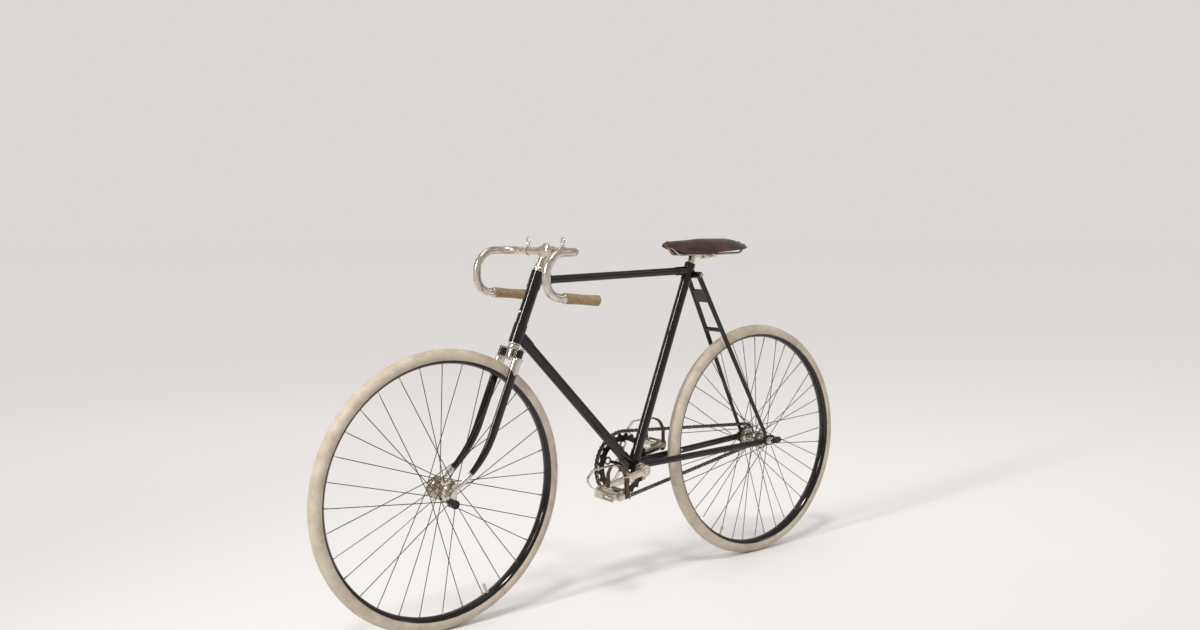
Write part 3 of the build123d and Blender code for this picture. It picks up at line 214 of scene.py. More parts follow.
def platedChainwheel():
    # nickel plated arms, and bare oily steel from the ring out to the teeth
    look = chainwheelLook
    plate = simpleLooks["agedNickelPlate"]["colour"]
    oil = simpleLooks["oiledBareSteel"]
    material, tree, coords, shader = newMaterial("platedAndOiledWheel", plate, look["plated"], 1.0)
    flat = addNode(tree, "ShaderNodeVectorMath", {1: (1, 0, 1)}, {0: coords}, operation="MULTIPLY")
    out = addNode(tree, "ShaderNodeVectorMath", {1: (bracket.x, 0, bracket.z)}, {0: flat},
                  operation="DISTANCE")
    grease = addNode(tree, "ShaderNodeTexNoise", {"Scale": perMetre(oil["patch"]), "Detail": oil["detail"],
                                                  "Roughness": oil["broken"]}, {"Vector": coords})
    wander = addNode(tree, "ShaderNodeMath", {1: look["wander"] / 1000}, {0: grease}, operation="MULTIPLY")
    reached = addNode(tree, "ShaderNodeMath", links={0: out.outputs["Value"], 1: wander}, operation="ADD")
    share = addNode(tree, "ShaderNodeMapRange",
                    {"From Min": look["bareFrom"] / 1000, "From Max": look["bareTo"] / 1000},
                    {"Value": reached})
    dirty = addNode(tree, "ShaderNodeValToRGB", links={"Fac": grease},
                    stops=((oil["from"], look["ring"]), (oil["to"], oil["second"])))
    tint = addNode(tree, "ShaderNodeMix", {"A": linear(plate)}, {"Factor": share, "B": dirty},
                   data_type="RGBA")
    gloss = addNode(tree, "ShaderNodeMapRange", {"To Min": look["plated"], "To Max": look["greasy"]},
                    {"Value": share})
    softEdge = addNode(tree, "ShaderNodeBevel", {"Radius": look["edge"] / 1000}, samples=edgeSamples)
    relief = addNode(tree, "ShaderNodeBump", {"Strength": look["strength"], "Distance": look["depth"] / 1000},
                     {"Height": grease, "Normal": softEdge})
    linkInto(tree, shader, {"Base Color": tint.outputs["Result"], "Roughness": gloss, "Normal": relief})
    return material


tyreLook = {"rubber": "#c0b6a7", "dirt": "#ab9f8e", "dirtPatch": 38, "dirtDetail": 6, "dirtBroken": 0.6,
            "dirtFrom": 0.34, "dirtTo": 0.6, "roughness": 0.78, "ribs": 2.4, "ribDepth": 0.45,
            "ribStrength": 0.6, "crownFrom": 9.5, "crownTo": 12, "grit": 1.4, "gritDetail": 3,
            "gritDepth": 0.2, "gritStrength": 0.35}


def greyRubber():
    # natural grey rubber, moulded and filled with chalk: pale, matt, dusty, with fine ribs on the crown
    look = tyreLook
    material, tree, coords, shader = newMaterial("greyNaturalRubber", look["rubber"], look["roughness"])
    cloud = addNode(tree, "ShaderNodeTexNoise", {"Scale": perMetre(look["dirtPatch"]),
                                                 "Detail": look["dirtDetail"],
                                                 "Roughness": look["dirtBroken"]},
                    {"Vector": coords})
    tint = addNode(tree, "ShaderNodeValToRGB", links={"Fac": cloud},
                   stops=((look["dirtFrom"], look["dirt"]), (look["dirtTo"], look["rubber"])))
    left = addNode(tree, "ShaderNodeSeparateXYZ", links={"Vector": coords}).outputs["Y"]
    turns = addNode(tree, "ShaderNodeMath", {1: 2 * math.pi * perMetre(look["ribs"])}, {0: left},
                    operation="MULTIPLY")
    wave = addNode(tree, "ShaderNodeMath", links={0: turns}, operation="SINE")
    off = addNode(tree, "ShaderNodeMath", links={0: left}, operation="ABSOLUTE")
    crown = addNode(tree, "ShaderNodeMapRange",
                    {"From Min": look["crownFrom"] / 1000, "From Max": look["crownTo"] / 1000,
                     "To Min": 1.0, "To Max": 0.0}, {"Value": off})
    ribs = addNode(tree, "ShaderNodeMath", links={0: wave, 1: crown}, operation="MULTIPLY")
    ribbed = addNode(tree, "ShaderNodeBump",
                     {"Strength": look["ribStrength"], "Distance": look["ribDepth"] / 1000}, {"Height": ribs})
    grit = addNode(tree, "ShaderNodeTexNoise", {"Scale": perMetre(look["grit"]), "Detail": look["gritDetail"],
                                                "Roughness": broken}, {"Vector": coords})
    relief = addNode(tree, "ShaderNodeBump",
                     {"Strength": look["gritStrength"], "Distance": look["gritDepth"] / 1000},
                     {"Height": grit, "Normal": ribbed})
    linkInto(tree, shader, {"Base Color": tint, "Normal": relief})
    return material


leatherLook = {"hide": "#2b1b13", "worn": "#523422", "wornPatch": 45, "wornDetail": 5, "wornFrom": 0.4,
               "wornTo": 0.75, "roughness": 0.42, "sheen": 0.08, "grain": 1.1, "grainDepth": 0.4,
               "strength": 0.35}


def saddleHide():
    # vegetable tanned hide, wet moulded and waxed: fine grain, lighter where it is sat on
    look = leatherLook
    material, tree, coords, shader = newMaterial("mouldedSaddleHide", look["hide"], look["roughness"])
    cloud = addNode(tree, "ShaderNodeTexNoise", {"Scale": perMetre(look["wornPatch"]),
                                                 "Detail": look["wornDetail"], "Roughness": broken},
                    {"Vector": coords})
    tint = addNode(tree, "ShaderNodeValToRGB", links={"Fac": cloud},
                   stops=((look["wornFrom"], look["hide"]), (look["wornTo"], look["worn"])))
    cells = addNode(tree, "ShaderNodeTexVoronoi", {"Scale": perMetre(look["grain"])}, {"Vector": coords},
                    feature="DISTANCE_TO_EDGE")
    relief = addNode(tree, "ShaderNodeBump",
                     {"Strength": look["strength"], "Distance": look["grainDepth"] / 1000}, {"Height": cells})
    linkInto(tree, shader, {"Base Color": tint, "Normal": relief})
    shader.inputs["Sheen Weight"].default_value = look["sheen"]
    return material


corkLook = {"cork": "#a18b6d", "middle": "#927b5c", "middleAt": 0.35, "grain": "#7a6447", "roughness": 0.7,
            "granule": 3.5, "pit": 2, "pitDetail": 4, "pitDepth": 0.6, "strength": 0.6}


def corkGrip():
    # turned natural cork: warm granules with dark pits between them, polished by hands
    look = corkLook
    material, tree, coords, shader = newMaterial("turnedCork", look["cork"], look["roughness"])
    cells = addNode(tree, "ShaderNodeTexVoronoi", {"Scale": perMetre(look["granule"])}, {"Vector": coords})
    shade = addNode(tree, "ShaderNodeSeparateXYZ", links={"Vector": cells.outputs["Color"]})
    tint = addNode(tree, "ShaderNodeValToRGB", links={"Fac": shade},
                   stops=((0.0, look["grain"]), (look["middleAt"], look["middle"]), (1.0, look["cork"])))
    pits = addNode(tree, "ShaderNodeTexNoise", {"Scale": perMetre(look["pit"]), "Detail": look["pitDetail"],
                                                "Roughness": broken}, {"Vector": coords})
    relief = addNode(tree, "ShaderNodeBump",
                     {"Strength": look["strength"], "Distance": look["pitDepth"] / 1000}, {"Height": pits})
    linkInto(tree, shader, {"Base Color": tint, "Normal": relief})
    return material


enamel = stovedEnamel()
nickel = patchyFinish("agedNickelPlate")
steel = patchyFinish("oiledBareSteel")
spokeWire = patchyFinish("drawnSpokeWire")
polished = patchyFinish("polishedBareSteel")
chainwheelPlate = platedChainwheel()
rubber = greyRubber()
hide = saddleHide()
strapLeather = patchyFinish("brownHarnessLeather")
cork = corkGrip()
copper = patchyFinish("hammeredCopper")
slotLook = {"black_enamel": enamel, "nickel_plate": nickel, "bright_steel": steel, "rim_finish": enamel,
            "tyre_rubber": rubber, "saddle_leather": hide, "grip": cork}
for part in frame["record"]["subparts"]:
    node = frame["nodes"][part["node"]]
    node.data.materials.clear()
    node.data.materials.append(slotLook[part["material_slot"]])
for name, finish in (("chainwheel", chainwheelPlate), ("steering_column", polished)):
    frame["nodes"][name].data.materials[0] = finish
print("materials on the CAD nodes")

# Stage, light and camera

stageLook = {"floor": "#e4e4e6", "floorRoughness": 0.95, "floorHeight": -0.985, "floorReach": 60,
             "sky": "#e8e5e2", "skySeen": 0.88, "skyMirrored": 0.55, "skyLight": 0.88,
             "lampColour": "#fffaf2"}
floorReach = stageLook["floorReach"]
floorCorners = [(x * floorReach, y * floorReach, stageLook["floorHeight"])
                for x, y in ((-1, -1), (1, -1), (1, 1), (-1, 1))]
floorMesh = bpy.data.meshes.new("floor")
floorMesh.from_pydata(floorCorners, [], [(0, 1, 2, 3)])
floor = bpy.data.objects.new("floor", floorMesh)
bpy.context.scene.collection.objects.link(floor)
floorFinish = newMaterial("paleStudioFloor", stageLook["floor"], stageLook["floorRoughness"])[0]
floor.data.materials.append(floorFinish)

world = bpy.data.worlds.new("studio")
bpy.context.scene.world = world
world.use_nodes = True
worldTree = world.node_tree
worldTree.nodes.clear()
path = addNode(worldTree, "ShaderNodeLightPath")
mirrored = addNode(worldTree, "ShaderNodeMapRange",
                   {"To Min": stageLook["skyLight"], "To Max": stageLook["skyMirrored"]},
                   {"Value": path.outputs["Is Glossy Ray"]})
straight = addNode(worldTree, "ShaderNodeMath", operation="MAXIMUM",
                   links={0: path.outputs["Is Camera Ray"], 1: path.outputs["Is Transmission Ray"]})
level = addNode(worldTree, "ShaderNodeMapRange", {"To Max": stageLook["skySeen"]},
                {"Value": straight, "To Min": mirrored})
glow = addNode(worldTree, "ShaderNodeBackground", {"Color": linear(stageLook["sky"])}, {"Strength": level})
addNode(worldTree, "ShaderNodeOutputWorld", links={"Surface": glow})

# place and aim in metres; AREA: watts, width and height in metres, beam in degrees;
# SUN: watts per square metre, size in degrees
lampLook = {
    "skySun": {"kind": "SUN", "place": (2.2, 1.6, 4.6), "aim": (0.3, 0, -0.5), "power": 0.8, "size": 8},
    # open sky over the rims and tubes
    "skyPanel": {"kind": "AREA", "place": (0.9, -0.2, 3.2), "aim": (0.3, 0, -0.5), "power": 11, "size": 1.8,
                 "tall": 1.2, "beam": 180},
    # lines down the upright tubes
    "frontStrip": {"kind": "AREA", "place": (4.3, 0.4, 1.4), "aim": (0.3, 0, -0.25), "power": 11, "size": 0.3,
                   "tall": 2.2, "beam": 50},
    # lines along the level tubes
    "topStrip": {"kind": "AREA", "place": (-2.6, 2.4, 2.4), "aim": (0.3, 0, -0.5), "power": 8, "size": 2.8,
                 "tall": 0.3, "beam": 180},
    "backPanel": {"kind": "AREA", "place": (0.2, -3.3, 1.4), "aim": (0.3, 0, -0.5), "power": 7, "size": 2.4,
                  "tall": 0.9, "beam": 180},
}
for name, look in lampLook.items():
    data = bpy.data.lights.new(name, look["kind"])
    data.energy = look["power"]
    data.color = linear(stageLook["lampColour"])[:3]
    if look["kind"] == "SUN":
        data.angle = math.radians(look["size"])
    else:
        data.shape = "RECTANGLE"
        data.size = look["size"]
        data.size_y = look["tall"]
        data.spread = math.radians(look["beam"])
    holder = bpy.data.objects.new(name, data)
    holder.location = look["place"]
    towards = Vector(look["aim"]) - Vector(look["place"])
    holder.rotation_euler = towards.to_track_quat("-Z", "Y").to_euler()
    holder.visible_camera = False
    bpy.context.scene.collection.objects.link(holder)

view = {"place": (2.260, 2.442, 0.035), "heading": (-0.610, -0.792, 0.0), "lens": 32.85, "sensor": 36,
        "shiftY": -0.0733, "farEnd": 200}
cameraData = bpy.data.cameras.new("camera")
cameraData.lens = view["lens"]
cameraData.sensor_width = view["sensor"]
cameraData.shift_y = view["shiftY"]
cameraData.clip_end = view["farEnd"]
camera = bpy.data.objects.new("camera", cameraData)
camera.location = view["place"]
camera.rotation_euler = Vector(view["heading"]).to_track_quat("-Z", "Y").to_euler()
bpy.context.scene.collection.objects.link(camera)
bpy.context.scene.camera = camera
bpy.context.scene.view_settings.view_transform = "Standard"
print("stage and camera ready")

# Shape helpers

def outwardMesh(name, points, faces):
    # a mesh whose faces all point outwards
    mesh = bpy.data.meshes.new(name)
    mesh.from_pydata([tuple(point) for point in points], [], faces)
    mesh.validate()
    work = bmesh.new()
    work.from_mesh(mesh)
    bmesh.ops.recalc_face_normals(work, faces=work.faces)
    work.to_mesh(mesh)
    work.free()
    return mesh


def finishPiece(name, mesh, material, body, angle=35):
    # edges sharper than the angle, in degrees, stay sharp
    mesh.materials.clear()
    mesh.materials.append(material)
    mesh.shade_smooth()
    mesh.set_sharp_from_angle(angle=math.radians(angle))
    piece = bpy.data.objects.new(name, mesh)
    bpy.context.scene.collection.objects.link(piece)
    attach(piece, body)
    return piece


def joined(name, shapes, material, body, angle=35):
    # several shapes of one material and body as one piece
    points = []
    faces = []
    for somePoints, someFaces in shapes:
        base = len(points)
        points += somePoints
        faces += [tuple(base + corner for corner in face) for face in someFaces]
    return finishPiece(name, outwardMesh(name, points, faces), material, body, angle)


def across(direction):
    # two directions square to a third
    direction = Vector(direction).normalized()
    other = Vector((0, 0, 1)) if abs(direction.z) < 0.9 else Vector((1, 0, 0))
    first = direction.cross(other).normalized()
    return first, direction.cross(first).normalized()


def stackedFaces(count, rings):
    # faces between rings of so many points each, and over both ends
    last = (rings - 1) * count
    faces = []
    for here in range(0, last, count):
        for place in range(count):
            after = (place + 1) % count
            faces.append((here + place, here + after, here + count + after, here + count + place))
    return faces + [tuple(reversed(range(count))), tuple(range(last, last + count))]


def turned(centre, axis, profile, steps=48, flutes=0):
    # points and faces of a lathe shape: profile is (along the axis, out from it, flute depth if any);
    # a profile that ends where it starts closes into a hollow ring
    centre = Vector(centre)
    axis = Vector(axis).normalized()
    first, second = across(axis)
    hollow = tuple(profile[0][:2]) == tuple(profile[-1][:2])
    points = []
    faces = []
    rings = []
    for along, out, *fluted in profile[:-1] if hollow else profile:
        if out < 1e-7:
            rings.append([len(points)])
            points.append(centre + axis * along)
            continue
        ring = []
        for step in range(steps):
            turn = 2 * math.pi * step / steps
            size = out - (fluted[0] * (0.5 - 0.5 * math.cos(flutes * turn)) if fluted else 0)
            ring.append(len(points))
            points.append(centre + axis * along + (first * math.cos(turn) + second * math.sin(turn)) * size)
        rings.append(ring)
    if hollow:
        rings.append(rings[0])
    for near, far in zip(rings, rings[1:]):
        for step in range(steps):
            after = (step + 1) % steps
            if len(near) == 1 and len(far) == 1:
                continue
            if len(near) == 1:
                faces.append((near[0], far[after], far[step]))
            elif len(far) == 1:
                faces.append((near[step], near[after], far[0]))
            else:
                faces.append((near[step], near[after], far[after], far[step]))
    return points, faces


def turnedPiece(name, centre, axis, profile, material, body, steps=48, angle=35, flutes=0):
    return joined(name, [turned(centre, axis, profile, steps, flutes)], material, body, angle)


def tubeShape(route, radius, sides=20, closed=False):
    # points and faces of a tube along points
    route = [Vector(point) for point in route]
    count = len(route)
    points = []
    before = None
    for place, here in enumerate(route):
        ahead = route[(place + 1) % count] if closed or place + 1 < count else here
        behind = route[place - 1] if closed or place else here
        run = (ahead - behind).normalized()
        if before is None:
            first, second = across(run)
        else:
            first = (before - run * before.dot(run)).normalized()
            second = run.cross(first)
        before = first
        for side in range(sides):
            turn = 2 * math.pi * side / sides
            points.append(here + (first * math.cos(turn) + second * math.sin(turn)) * radius)
    faces = stackedFaces(sides, count)
    if closed:
        last = (count - 1) * sides
        faces = faces[:-2] + [(last + side, last + (side + 1) % sides, (side + 1) % sides, side)
                              for side in range(sides)]
    return points, faces


def roundedRoute(corners, radii, steps=10):
    # a route with its corners rounded to arcs
    corners = [Vector(corner) for corner in corners]
    route = [corners[0]]
    for corner, before, after, radius in zip(corners[1:-1], corners, corners[2:], radii):
        back = (before - corner).normalized()
        on = (after - corner).normalized()
        half = back.angle(on) / 2
        cut = radius / math.tan(half)
        centre = corner + (back + on).normalized() * (radius / math.sin(half))
        start = corner + back * cut - centre
        end = corner + on * cut - centre
        sweep = start.angle(end)
        for step in range(steps + 1):
            share = step / steps
            spoke = start * math.sin((1 - share) * sweep) + end * math.sin(share * sweep)
            route.append(centre + spoke / math.sin(sweep))
    route.append(corners[-1])
    return route


def ovalBar(rings, wideWay, thickWay, power, sides=28):
    # points and faces of a bar of rounded oblong section: rings are (centre, half width, half thickness)
    points = []
    for centre, wide, thick in rings:
        for side in range(sides):
            turn = 2 * math.pi * side / sides
            c = math.cos(turn)
            s = math.sin(turn)
            points.append(centre + wideWay * wide * math.copysign(abs(c) ** (2 / power), c)
                          + thickWay * thick * math.copysign(abs(s) ** (2 / power), s))
    return points, stackedFaces(sides, len(rings))


def hexShape(centre, axis, width, height, chamfer=0.0006):
    # a hexagon nut, its width across flats, its corners chamfered at both ends
    axis = Vector(axis).normalized()
    one, two = across(axis)
    corner = width / math.sqrt(3)
    small = corner - chamfer
    points = []
    for along, size in ((0, small), (chamfer, corner), (height - chamfer, corner), (height, small)):
        for side in range(6):
            turn = math.radians(60 * side)
            out = (one * math.cos(turn) + two * math.sin(turn)) * size
            points.append(Vector(centre) + axis * along + out)
    return points, stackedFaces(6, 4)


# Geometry node trees

def openTree(name, inputs):
    tree = bpy.data.node_groups.new(name, "GeometryNodeTree")
    tree.interface.new_socket("Geometry", in_out="INPUT", socket_type="NodeSocketGeometry")
    for label, (kind, value) in inputs.items():
        socket = tree.interface.new_socket(label, in_out="INPUT", socket_type=kind)
        if value is not None:
            socket.default_value = value
    tree.interface.new_socket("Geometry", in_out="OUTPUT", socket_type="NodeSocketGeometry")
    return tree, addNode(tree, "NodeGroupInput").outputs


def closeTree(tree, geometry, material):
    whole = addNode(tree, "GeometryNodeRealizeInstances", links={"Geometry": geometry})
    named = addNode(tree, "GeometryNodeSetMaterial", links={"Geometry": whole, "Material": material})
    addNode(tree, "NodeGroupOutput", links={"Geometry": named})


def runTree(name, tree, carrier, values, material, body, angle=35):
    # gives a carrier mesh the tree, keeps the result as a plain piece, and clears both away
    holder = bpy.data.objects.new(name + "Carrier", carrier)
    bpy.context.scene.collection.objects.link(holder)
    modifier = holder.modifiers.new("build", "NODES")
    modifier.node_group = tree
    given = {"Material": material, **values}
    for item in tree.interface.items_tree:
        if item.in_out == "INPUT" and item.name in given:
            modifier[item.identifier] = given[item.name]
    depsgraph = bpy.context.evaluated_depsgraph_get()
    mesh = bpy.data.meshes.new_from_object(holder.evaluated_get(depsgraph), depsgraph=depsgraph)
    holder.modifiers.remove(modifier)
    bpy.data.objects.remove(holder)
    mesh.name = name
    return finishPiece(name, mesh, material, body, angle)


def pinTree():
    # a short turned pin, with a domed head if asked, on every point, along the point's facing
    tree, given = openTree("pinsOnPoints", {"Radius": ("NodeSocketFloat", 0.002),
                                            "Length": ("NodeSocketFloat", 0.004),
                                            "Sides": ("NodeSocketInt", 12), "Crown": ("NodeSocketFloat", 0.5),
                                            "Material": ("NodeSocketMaterial", None)})
    facing = addNode(tree, "GeometryNodeInputNamedAttribute", {"Name": "facing"}, data_type="FLOAT_VECTOR")
    turn = addNode(tree, "FunctionNodeAlignRotationToVector", links={"Vector": facing.outputs["Attribute"]},
                   axis="Z")
    shank = addNode(tree, "GeometryNodeMeshCylinder",
                    links={"Vertices": given["Sides"], "Radius": given["Radius"], "Depth": given["Length"]})
    ball = addNode(tree, "GeometryNodeMeshUVSphere", {"Rings": 6},
                   {"Segments": given["Sides"], "Radius": given["Radius"]})
    flatten = addNode(tree, "ShaderNodeCombineXYZ", {"X": 1.0, "Y": 1.0}, {"Z": given["Crown"]})
    rise = addNode(tree, "ShaderNodeMath", {1: 0.5}, {0: given["Length"]}, operation="MULTIPLY")
    lift = addNode(tree, "ShaderNodeCombineXYZ", links={"Z": rise})
    dome = addNode(tree, "GeometryNodeTransform",
                   links={"Geometry": ball.outputs["Mesh"], "Scale": flatten, "Translation": lift})
    pin = addNode(tree, "GeometryNodeJoinGeometry")
    for half in (shank.outputs["Mesh"], dome.outputs["Geometry"]):
        linkInto(tree, pin, {"Geometry": half})
    spread = addNode(tree, "GeometryNodeInstanceOnPoints",
                     links={"Points": given["Geometry"], "Instance": pin, "Rotation": turn})
    closeTree(tree, spread.outputs["Instances"], given["Material"])
    return tree


def copyTree():
    # one shape on every point, its z along the point's facing and its x along the point's ahead
    tree, given = openTree("copiesOnPoints", {"Shape": ("NodeSocketObject", None),
                                              "Material": ("NodeSocketMaterial", None)})
    facing = addNode(tree, "GeometryNodeInputNamedAttribute", {"Name": "facing"}, data_type="FLOAT_VECTOR")
    ahead = addNode(tree, "GeometryNodeInputNamedAttribute", {"Name": "ahead"}, data_type="FLOAT_VECTOR")
    turn = addNode(tree, "FunctionNodeAxesToRotation", primary_axis="Z", secondary_axis="X",
                   links={0: facing.outputs["Attribute"], 1: ahead.outputs["Attribute"]})
    shape = addNode(tree, "GeometryNodeObjectInfo", links={"Object": given["Shape"]})
    spread = addNode(tree, "GeometryNodeInstanceOnPoints",
                     links={"Points": given["Geometry"], "Instance": shape.outputs["Geometry"],
                            "Rotation": turn})
    closeTree(tree, spread.outputs["Instances"], given["Material"])
    return tree


def wireTree():
    # a round wire along every chain of edges
    tree, given = openTree("wireAlongEdges", {"Radius": ("NodeSocketFloat", 0.001),
                                              "Sides": ("NodeSocketInt", 10),
                                              "Material": ("NodeSocketMaterial", None)})
    lines = addNode(tree, "GeometryNodeMeshToCurve", links={"Mesh": given["Geometry"]})
    ring = addNode(tree, "GeometryNodeCurvePrimitiveCircle",
                   links={"Resolution": given["Sides"], "Radius": given["Radius"]})
    tube = addNode(tree, "GeometryNodeCurveToMesh", {"Fill Caps": True},
                   {"Curve": lines.outputs["Curve"], "Profile Curve": ring.outputs["Curve"]})
    closeTree(tree, tube.outputs["Mesh"], given["Material"])
    return tree


pins = pinTree()
copies = copyTree()
wires = wireTree()


def markedPoints(name, places):
    # a mesh of loose points: each place is (point, facing) or (point, facing, ahead)
    mesh = bpy.data.meshes.new(name)
    mesh.from_pydata([tuple(place[0]) for place in places], [], [])
    for which, label in enumerate(("facing", "ahead")[:len(places[0]) - 1], 1):
        marks = mesh.attributes.new(label, "FLOAT_VECTOR", "POINT")
        for number, place in enumerate(places):
            marks.data[number].vector = Vector(place[which]).normalized()
    return mesh


def pinsOn(name, places, radius, length, material, body, sides=12, crown=0.5):
    return runTree(name, pins, markedPoints(name + "Points", places),
                   {"Radius": radius, "Length": length, "Sides": sides, "Crown": crown}, material, body)


def copiesOn(name, shape, places, material, body, angle=35):
    holder = bpy.data.objects.new(name + "Shape", outwardMesh(name + "Shape", *shape))
    bpy.context.scene.collection.objects.link(holder)
    piece = runTree(name, copies, markedPoints(name + "Points", places), {"Shape": holder}, material, body,
                    angle)
    bpy.data.objects.remove(holder)
    return piece


# Wheels: lengths from here on are in metres

wheelSizes = {"tyreRadius": 0.35554, "rimEdge": 0.3274, "rimWell": 0.317, "rimHalf": 0.0165, "rimWall": 0.003,
              "lip": 0.0014, "lipOut": 0.0005, "seatGap": 0.0004, "bedGap": 0.0003, "flangeHalf": 0.029}
wheelRows = {"front": {"centre": frontAxle, "spokes": 32, "crossings": 3, "valveTurn": -115,
                       "hubHalf": 0.042},
             "rear": {"centre": rearAxle, "spokes": 40, "crossings": 4, "valveTurn": -62, "hubHalf": 0.047}}
spokeLook = {"radius": 0.0011, "hole": 0.026, "outer": 0.0042, "inner": 0.0026, "headSeat": 0.0019,
             "elbow": 0.0009, "bend": 0.0014, "rimGap": 0.0004, "end": 0.001, "toSide": 0.0025,
             "nippleBack": 0.0058, "nippleRadius": 0.0021, "nipple": 0.0105, "headRadius": 0.0019,
             "head": 0.0007}
valveLook = {"root": 0.002, "profile": ((0, 0), (0, 0.0052), (0.0035, 0.0052), (0.0038, 0.0030),
                                        (0.017, 0.0030), (0.0172, 0.0042), (0.026, 0.0042), (0.0275, 0.0034),
                                        (0.028, 0))}


def arcPoints(start, middle, end, steps):
    # points of the arc through three (a, b) pairs
    ax, ay = start
    bx, by = middle
    cx, cy = end
    a2 = ax * ax + ay * ay
    b2 = bx * bx + by * by
    c2 = cx * cx + cy * cy
    d = 2 * (ax * (by - cy) + bx * (cy - ay) + cx * (ay - by))
    ux = (a2 * (by - cy) + b2 * (cy - ay) + c2 * (ay - by)) / d
    uy = (a2 * (cx - bx) + b2 * (ax - cx) + c2 * (bx - ax)) / d
    radius = math.hypot(ax - ux, ay - uy)
    first = math.atan2(ay - uy, ax - ux)
    through = math.atan2(by - uy, bx - ux)
    last = math.atan2(cy - uy, cx - ux)
    full = 2 * math.pi
    sweep = (last - first) % full
    if (through - first) % full > sweep:
        sweep -= full
    turns = [first + sweep * step / steps for step in range(steps + 1)]
    return [(ux + radius * math.cos(turn), uy + radius * math.sin(turn)) for turn in turns]


def onWheel(centre, out, turn, left=0.0):
    return centre + Vector((out * math.cos(turn), left, out * math.sin(turn)))


def wheelRing(name, centre, section, material, body, steps=176, angle=40):
    # a closed section, (left, out) pairs, swept round an axle
    count = len(section)
    points = [onWheel(centre, out, 2 * math.pi * (step + 0.5) / steps, left) for step in range(steps)
              for left, out in section]
    faces = []
    for step in range(steps):
        here = step * count
        after = (step + 1) % steps * count
        for place in range(count):
            nextPlace = (place + 1) % count
            faces.append((here + place, here + nextPlace, after + nextPlace, after + place))
    return joined(name, [(points, faces)], material, body, angle)


def dressTyre(end):
    # the tyre lies in the hollow rim; the rim's edges roll out a little
    size = wheelSizes
    centre = wheelRows[end]["centre"]
    body = end + "_wheel"
    half = size["rimHalf"]
    edge = size["rimEdge"]
    well = size["rimWell"]
    seat = edge - size["seatGap"]
    lip = edge - size["seatGap"] - size["lip"]
    wide = half + size["lipOut"]
    bed = well + size["rimWall"] + size["bedGap"]
    section = arcPoints((-half, edge), (0, size["tyreRadius"]), (half, edge), 26)
    section += arcPoints((half, edge), (0, bed), (-half, edge), 8)[1:-1]
    tyre = wheelRing(end + "TyreDressed", centre, section, rubber, body)
    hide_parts(end + "_tyre")
    hollow = arcPoints((-half, seat), (0, well + size["rimWall"]), (half, seat), 12)
    back = arcPoints((wide, lip), (0, well), (-wide, lip), 14)
    rim = wheelRing(end + "RimDressed", centre, hollow + back, enamel, body, angle=50)
    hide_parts(end + "_rim")


def dressSpokes(end):
    # each spoke has a head on one face of the flange, a bend in its hole and a straight run to its nipple
    look = spokeLook
    wheel = wheelRows[end]
    centre = wheel["centre"]
    body = end + "_wheel"
    gap = 4 * math.pi / wheel["spokes"]    # between neighbours on one flange
    lean = wheel["crossings"] * gap
    flange = wheelSizes["flangeHalf"]
    edges = []
    points = []
    nipples = []
    heads = []
    for hand in (1, -1):
        for number in range(wheel["spokes"] // 2):
            lead = 1 if number % 2 else -1
            turn = number * gap + (gap / 2 if hand < 0 else 0)
            left = hand * (flange + (look["outer"] if lead > 0 else -look["inner"]))
            root = onWheel(centre, look["hole"], turn, hand * (flange - lead * look["headSeat"]))
            elbow = onWheel(centre, look["hole"], turn, left - hand * lead * look["elbow"])
            hole = onWheel(centre, look["hole"], turn, left)
            rimTurn = turn + lead * lean
            tip = onWheel(centre, wheelSizes["rimWell"] - look["rimGap"], rimTurn, hand * look["toSide"])
            run = (tip - hole).normalized()
            base = len(points)
            points += [root, elbow, hole + run * look["bend"], tip - run * look["end"]]
            edges += [(base, base + 1), (base + 1, base + 2), (base + 2, base + 3)]
            nipples.append((tip - run * look["nippleBack"], run))
            heads.append((root, Vector((0, -hand * lead, 0))))
    carrier = bpy.data.meshes.new(end + "SpokeLines")
    carrier.from_pydata([tuple(p) for p in points], edges, [])
    spokes = runTree(end + "SpokesDressed", wires, carrier, {"Radius": look["radius"], "Sides": 8}, spokeWire,
                     body)
    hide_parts(end + "_spokes")
    nuts = pinsOn(end + "Nipples", nipples, look["nippleRadius"], look["nipple"], nickel, body, 8, 0.3)
    pinsOn(end + "SpokeHeads", heads, look["headRadius"], look["head"], steel, body, 8, 0.5)


def dressValve(end):
    # tyre valve, through the rim and tyre on the axle side
    wheel = wheelRows[end]
    turn = math.radians(wheel["valveTurn"])
    root = onWheel(wheel["centre"], wheelSizes["rimWell"] + valveLook["root"], turn)
    inward = Vector((-math.cos(turn), 0, -math.sin(turn)))
    valve = turnedPiece(end + "Valve", root, inward, valveLook["profile"], nickel, end + "_wheel", 20)


hubLook = {
    # (along, out): from the hub's end, from the flange's middle and from the hub's middle
    "end": ((0, 0.0053), (0, 0.0112), (0.0008, 0.012)),
    "flange": ((-0.006, 0.012), (-0.0015, 0.0155), (-0.0015, 0.0284), (-0.0009, 0.029), (0.0009, 0.029),
               (0.0015, 0.0284), (0.0015, 0.0176), (0.0035, 0.0160)),
    "waist": ((-0.010, 0.0146), (-0.0075, 0.0160), (0.0075, 0.0160)),
}


def dressHub(end):
    wheel = wheelRows[end]
    outline = [(along - wheel["hubHalf"], out) for along, out in hubLook["end"]]
    outline += [(along - wheelSizes["flangeHalf"], out) for along, out in hubLook["flange"]]
    outline += hubLook["waist"]
    outline += [(-along, out) for along, out in reversed(outline[:-2])]
    hub = turnedPiece(end + "HubDressed", wheel["centre"], (0, 1, 0), outline + [outline[0]], nickel,
                      end + "_wheel", angle=30)
    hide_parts(end + "_hub")


for end in wheelRows:
    dressTyre(end)
    dressSpokes(end)
    dressValve(end)
for end in wheelRows:
    dressHub(end)
print("wheels dressed")

# Chain

